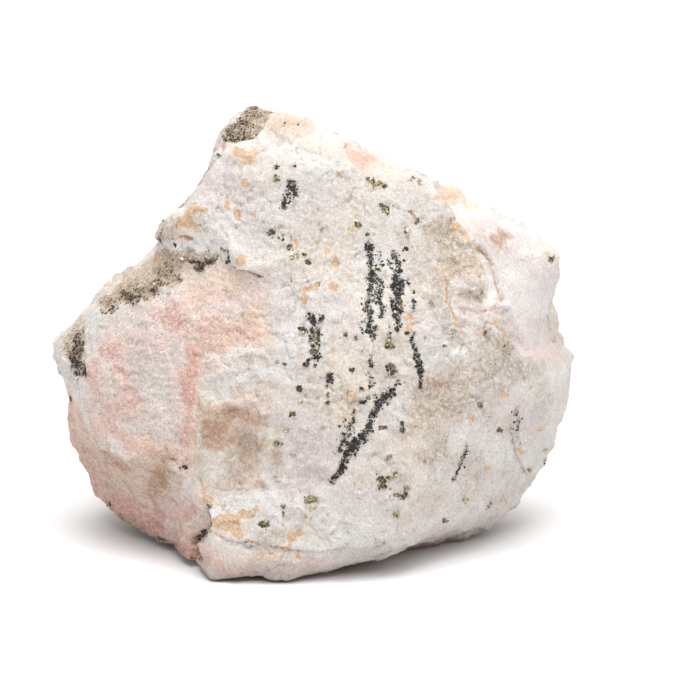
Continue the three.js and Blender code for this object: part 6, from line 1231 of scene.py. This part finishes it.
# white patches, a few of them painted light
col = m.mix(soft_mask("white", 1.0, 0.5, 0.8), col, srgb(244, 241, 238))
col = m.mix(m.math("MULTIPLY", crisp_mask("ochre", 0.40, 0.62, 1.2), 0.85), col, m.mix(n_fine, srgb(206, 160, 116), srgb(234, 198, 158)))

# painted shade on the front and duller patches behind: the colour multiplied by a neutral grey
col = m.mix(m.math("MINIMUM", A("dull_and_shade"), 1.0), col, srgb(238, 238, 237, 1.0), "MULTIPLY")

# fibres: level on the broad pink face, slanting on the lower left face
level = m.noise(0.55, 4, 0.65, 0.6, 0.19, (0.22, 0.22, 1.0))
lean = m.noise(0.60, 4, 0.65, 0.5, 0.23, (0.20, 0.6, 1.0), -38)
col = m.mix(m.math("MULTIPLY", A("fibre_b"), 0.5), col, m.mix(m.ramp(level, 0.32, 0.68), (0.95, 0.93, 0.93, 1), (1.15, 1.15, 1.14, 1)), "MULTIPLY")
col = m.mix(m.math("MULTIPLY", A("fibre_c"), 0.9), col, m.mix(m.ramp(lean, 0.32, 0.68), (0.79, 0.73, 0.73, 1), (1.11, 1.14, 1.12, 1)), "MULTIPLY")

# a frost of pale crumbs over everything, each tiny grain its own shade, some warmer and some cooler
frost = m.math("MULTIPLY", m.ramp(n_frost, 0.49, 0.62), m.math("MULTIPLY_ADD", A("fibre_b"), 0.06, 0.38))
col = m.mix(frost, col, srgb(246, 238, 233))
speck = m.mix(m.math("MULTIPLY_ADD", A("granular"), 0.5, 0.5, clamp=True), m.ramp(n_grit, 0.25, 0.75, 0.90, 1.06), m.ramp(n_grit, 0.28, 0.72, 0.72, 1.18))
col = m.mix(1.0, col, speck, "MULTIPLY")
tint = m.mix(m.ramp(m.noise(0.30, 3, 0.8, 0.0, 0.17), 0.38, 0.62), (1.035, 0.985, 0.915, 1), (0.965, 1.005, 1.055, 1))
keen = m.math("MULTIPLY_ADD", A("smooth_zone"), -0.4, m.math("MULTIPLY_ADD", A("granular"), 0.35, 0.75), clamp=True)
col = m.mix(keen, col, tint, "MULTIPLY")
# painted shade: the colour darkened in the hollows and creases of the relief, where shade falls
col = m.mix(m.math("MULTIPLY", m.ramp(A("hollow_shade"), 0.05, 0.9), 0.40), col, srgb(190, 165, 148), "MULTIPLY")
col = m.mix(m.math("MULTIPLY", m.ramp(A("hollow_fine_shade"), 0.05, 0.9), 0.45), col, srgb(200, 176, 162), "MULTIPLY")

# grey dust and black pepper round the veins, and the dark granular crust
pepper = m.noise(0.24, 3, 0.8, 0.0, 0.07)
dust = m.math("MULTIPLY", m.ramp(A("vein"), 0.05, 0.9), 0.30)
col = m.mix(dust, col, srgb(140, 138, 135))
p_line = m.ramp(m.math("ADD", m.math("MULTIPLY", A("vein"), 0.30), pepper), 0.75, 0.80)
col = m.mix(p_line, col, srgb(42, 42, 42))
salt = m.noise(0.26, 2, 0.75, 0.0, 0.13)
crust_mix = m.mix(m.ramp(salt, 0.38, 0.58), srgb(98, 80, 64), srgb(246, 218, 184))
col = m.mix(m.math("MULTIPLY", m.ramp(m.math("ADD", A("dark"), m.math("ADD", m.math("MULTIPLY", wobble, 0.7), m.math("MULTIPLY", drift, 0.4))), 0.05, 0.80), 0.88), col, crust_mix)
p_dark = m.ramp(m.math("ADD", m.math("MULTIPLY", A("dark"), 0.33), m.math("MULTIPLY_ADD", m.math("SUBTRACT", n_edge, 0.5), 0.30, salt)), 0.70, 0.76)
col = m.mix(m.math("MULTIPLY", p_dark, m.ramp(A("dark"), 0.03, 0.12)), col, srgb(44, 42, 39))
# painted shade: the colour darkened within 3.5 mm of the ground, under the rock
ground_shade = m.ramp(m.split_z(), 3.5, 0.2)
col = m.mix(m.math("MULTIPLY", ground_shade, 0.35), col, srgb(150, 136, 124), "MULTIPLY")
dot = m.math("MULTIPLY", m.ramp(m.noise(0.17, 2, 0.8, 0.0, 0.21), 0.70, 0.76), m.ramp(n_big, 0.42, 0.62, 0.15, 0.6))
col = m.mix(dot, col, srgb(116, 106, 94))
m.put(m.shader.inputs["Base Color"], col)

rough = m.ramp(n_fine, 0.2, 0.8, 0.62, 0.9)
rough = m.math("SUBTRACT", rough, m.math("MULTIPLY", A("smooth_zone"), 0.12))
rough = m.math("SUBTRACT", rough, m.math("MULTIPLY", p_line, 0.3))
m.put(m.shader.inputs["Roughness"], rough)
m.shader.inputs["Specular IOR Level"].default_value = 0.35
fine_bump = m.bump(n_grit, 0.07, m.math("MULTIPLY_ADD", A("granular"), 0.2, 0.8, clamp=True))
mid_bump = m.bump(m.noise(0.45, 5, 0.7, 0.0, 0.09), 0.16, m.math("MULTIPLY", m.math("MULTIPLY_ADD", A("smooth_zone"), -0.15, 1.0, clamp=True), m.ramp(n_patch, 0.36, 0.60, 0.62, 1.0)), fine_bump)
m.put(m.shader.inputs["Normal"], mid_bump)
rock.data.materials.append(m.mat)

b = Nodes("black_sulphide")
tone = b.attr("tone")
b.put(b.shader.inputs["Base Color"], b.mix(b.ramp(b.math("ADD", tone, b.math("MULTIPLY", b.noise(0.12, 2), 0.3)), 0.1, 1.2), srgb(26, 26, 26), srgb(84, 80, 76)))
b.shader.inputs["Metallic"].default_value = 0.35
b.put(b.shader.inputs["Roughness"], b.ramp(b.noise(0.1, 2), 0.2, 0.8, 0.28, 0.6))
b.put(b.shader.inputs["Normal"], b.bump(b.noise(0.06, 2), 0.02, 0.5))
black.data.materials.append(b.mat)

g = Nodes("pyrite")
tone = g.attr("tone")
g.put(g.shader.inputs["Base Color"], g.mix(g.ramp(tone, 0.1, 0.9), srgb(96, 88, 68, 1.0), srgb(208, 198, 166, 1.0)))
g.shader.inputs["Metallic"].default_value = 1.0
g.put(g.shader.inputs["Roughness"], g.ramp(g.noise(0.15, 2), 0.2, 0.8, 0.28, 0.5))
g.put(g.shader.inputs["Normal"], g.bump(g.noise(0.05, 2), 0.015, 0.4))
gold.data.materials.append(g.mat)

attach(rock, "root")
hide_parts(NODE)
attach(black, "root")
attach(gold, "root")

# ------------------------------------------------------------ floor and light ----
RIM = [[340 * math.cos(a), 340 * math.sin(a), 0] for a in np.linspace(0, 2 * math.pi, 96, endpoint=False)]
floor = mesh_from("floor", np.array([[0, 0, 0]] + RIM, float), np.array([[0, 1 + i, 1 + (i + 1) % 96] for i in range(96)]))
fm = bpy.data.materials.new("floor")
fm.use_nodes = True
fs = fm.node_tree.nodes["Principled BSDF"]
fs.inputs["Base Color"].default_value = (0.80, 0.80, 0.80, 1)
fs.inputs["Roughness"].default_value = 0.9
fs.inputs["Specular IOR Level"].default_value = 0.1
floor.data.materials.append(fm)

# a dim white room, bright only along the horizon so that the floor runs out into white
world = bpy.data.worlds.new("studio")
bpy.context.scene.world = world
world.use_nodes = True
wt = world.node_tree
bg = wt.nodes["Background"]
bg.inputs["Color"].default_value = (1, 1, 1, 1)
aim = wt.nodes.new("ShaderNodeTexCoord")
parts = wt.nodes.new("ShaderNodeSeparateXYZ")
wt.links.new(aim.outputs["Generated"], parts.inputs[0])
glow = wt.nodes.new("ShaderNodeMapRange")
glow.interpolation_type = "SMOOTHSTEP"
wt.links.new(parts.outputs[2], glow.inputs["Value"])
glow.inputs["From Min"].default_value = 0.06
glow.inputs["From Max"].default_value = 0.12
glow.inputs["To Min"].default_value = 1.05
glow.inputs["To Max"].default_value = 0.18
wt.links.new(glow.outputs[0], bg.inputs["Strength"])


def lamp(name, at_mm, size_mm, power, toward=(0, 0, 22), shape="DISK"):
    data = bpy.data.lights.new(name, "AREA")
    data.shape = shape
    data.size = size_mm * MM
    data.energy = power
    ob = bpy.data.objects.new(name, data)
    ob.location = Vector(np.array(at_mm, float) * MM)
    ob.rotation_euler = (Vector(toward) * MM - ob.location).to_track_quat("-Z", "Y").to_euler()
    bpy.context.scene.collection.objects.link(ob)


lamp("softbox_top", (20, -30, 560), 420, 2.40, (20, -30, 0), "SQUARE")
lamp("softbox_front", (0, -260, 540), 520, 2.75, (0, -100, 0), "SQUARE")
lamp("softbox_right", (600, -120, 380), 400, 1.25, (0, 0, 22), "SQUARE")
lamp("softbox_left", (-600, -120, 380), 400, 0.62, (0, 0, 22), "SQUARE")
lamp("softbox_back", (0, 430, 420), 450, 1.2, (0, 390, 0), "SQUARE")

view = bpy.context.scene.view_settings
view.view_transform = "Standard"
view.look = "None"
view.exposure = 0.0
view.gamma = 1.0
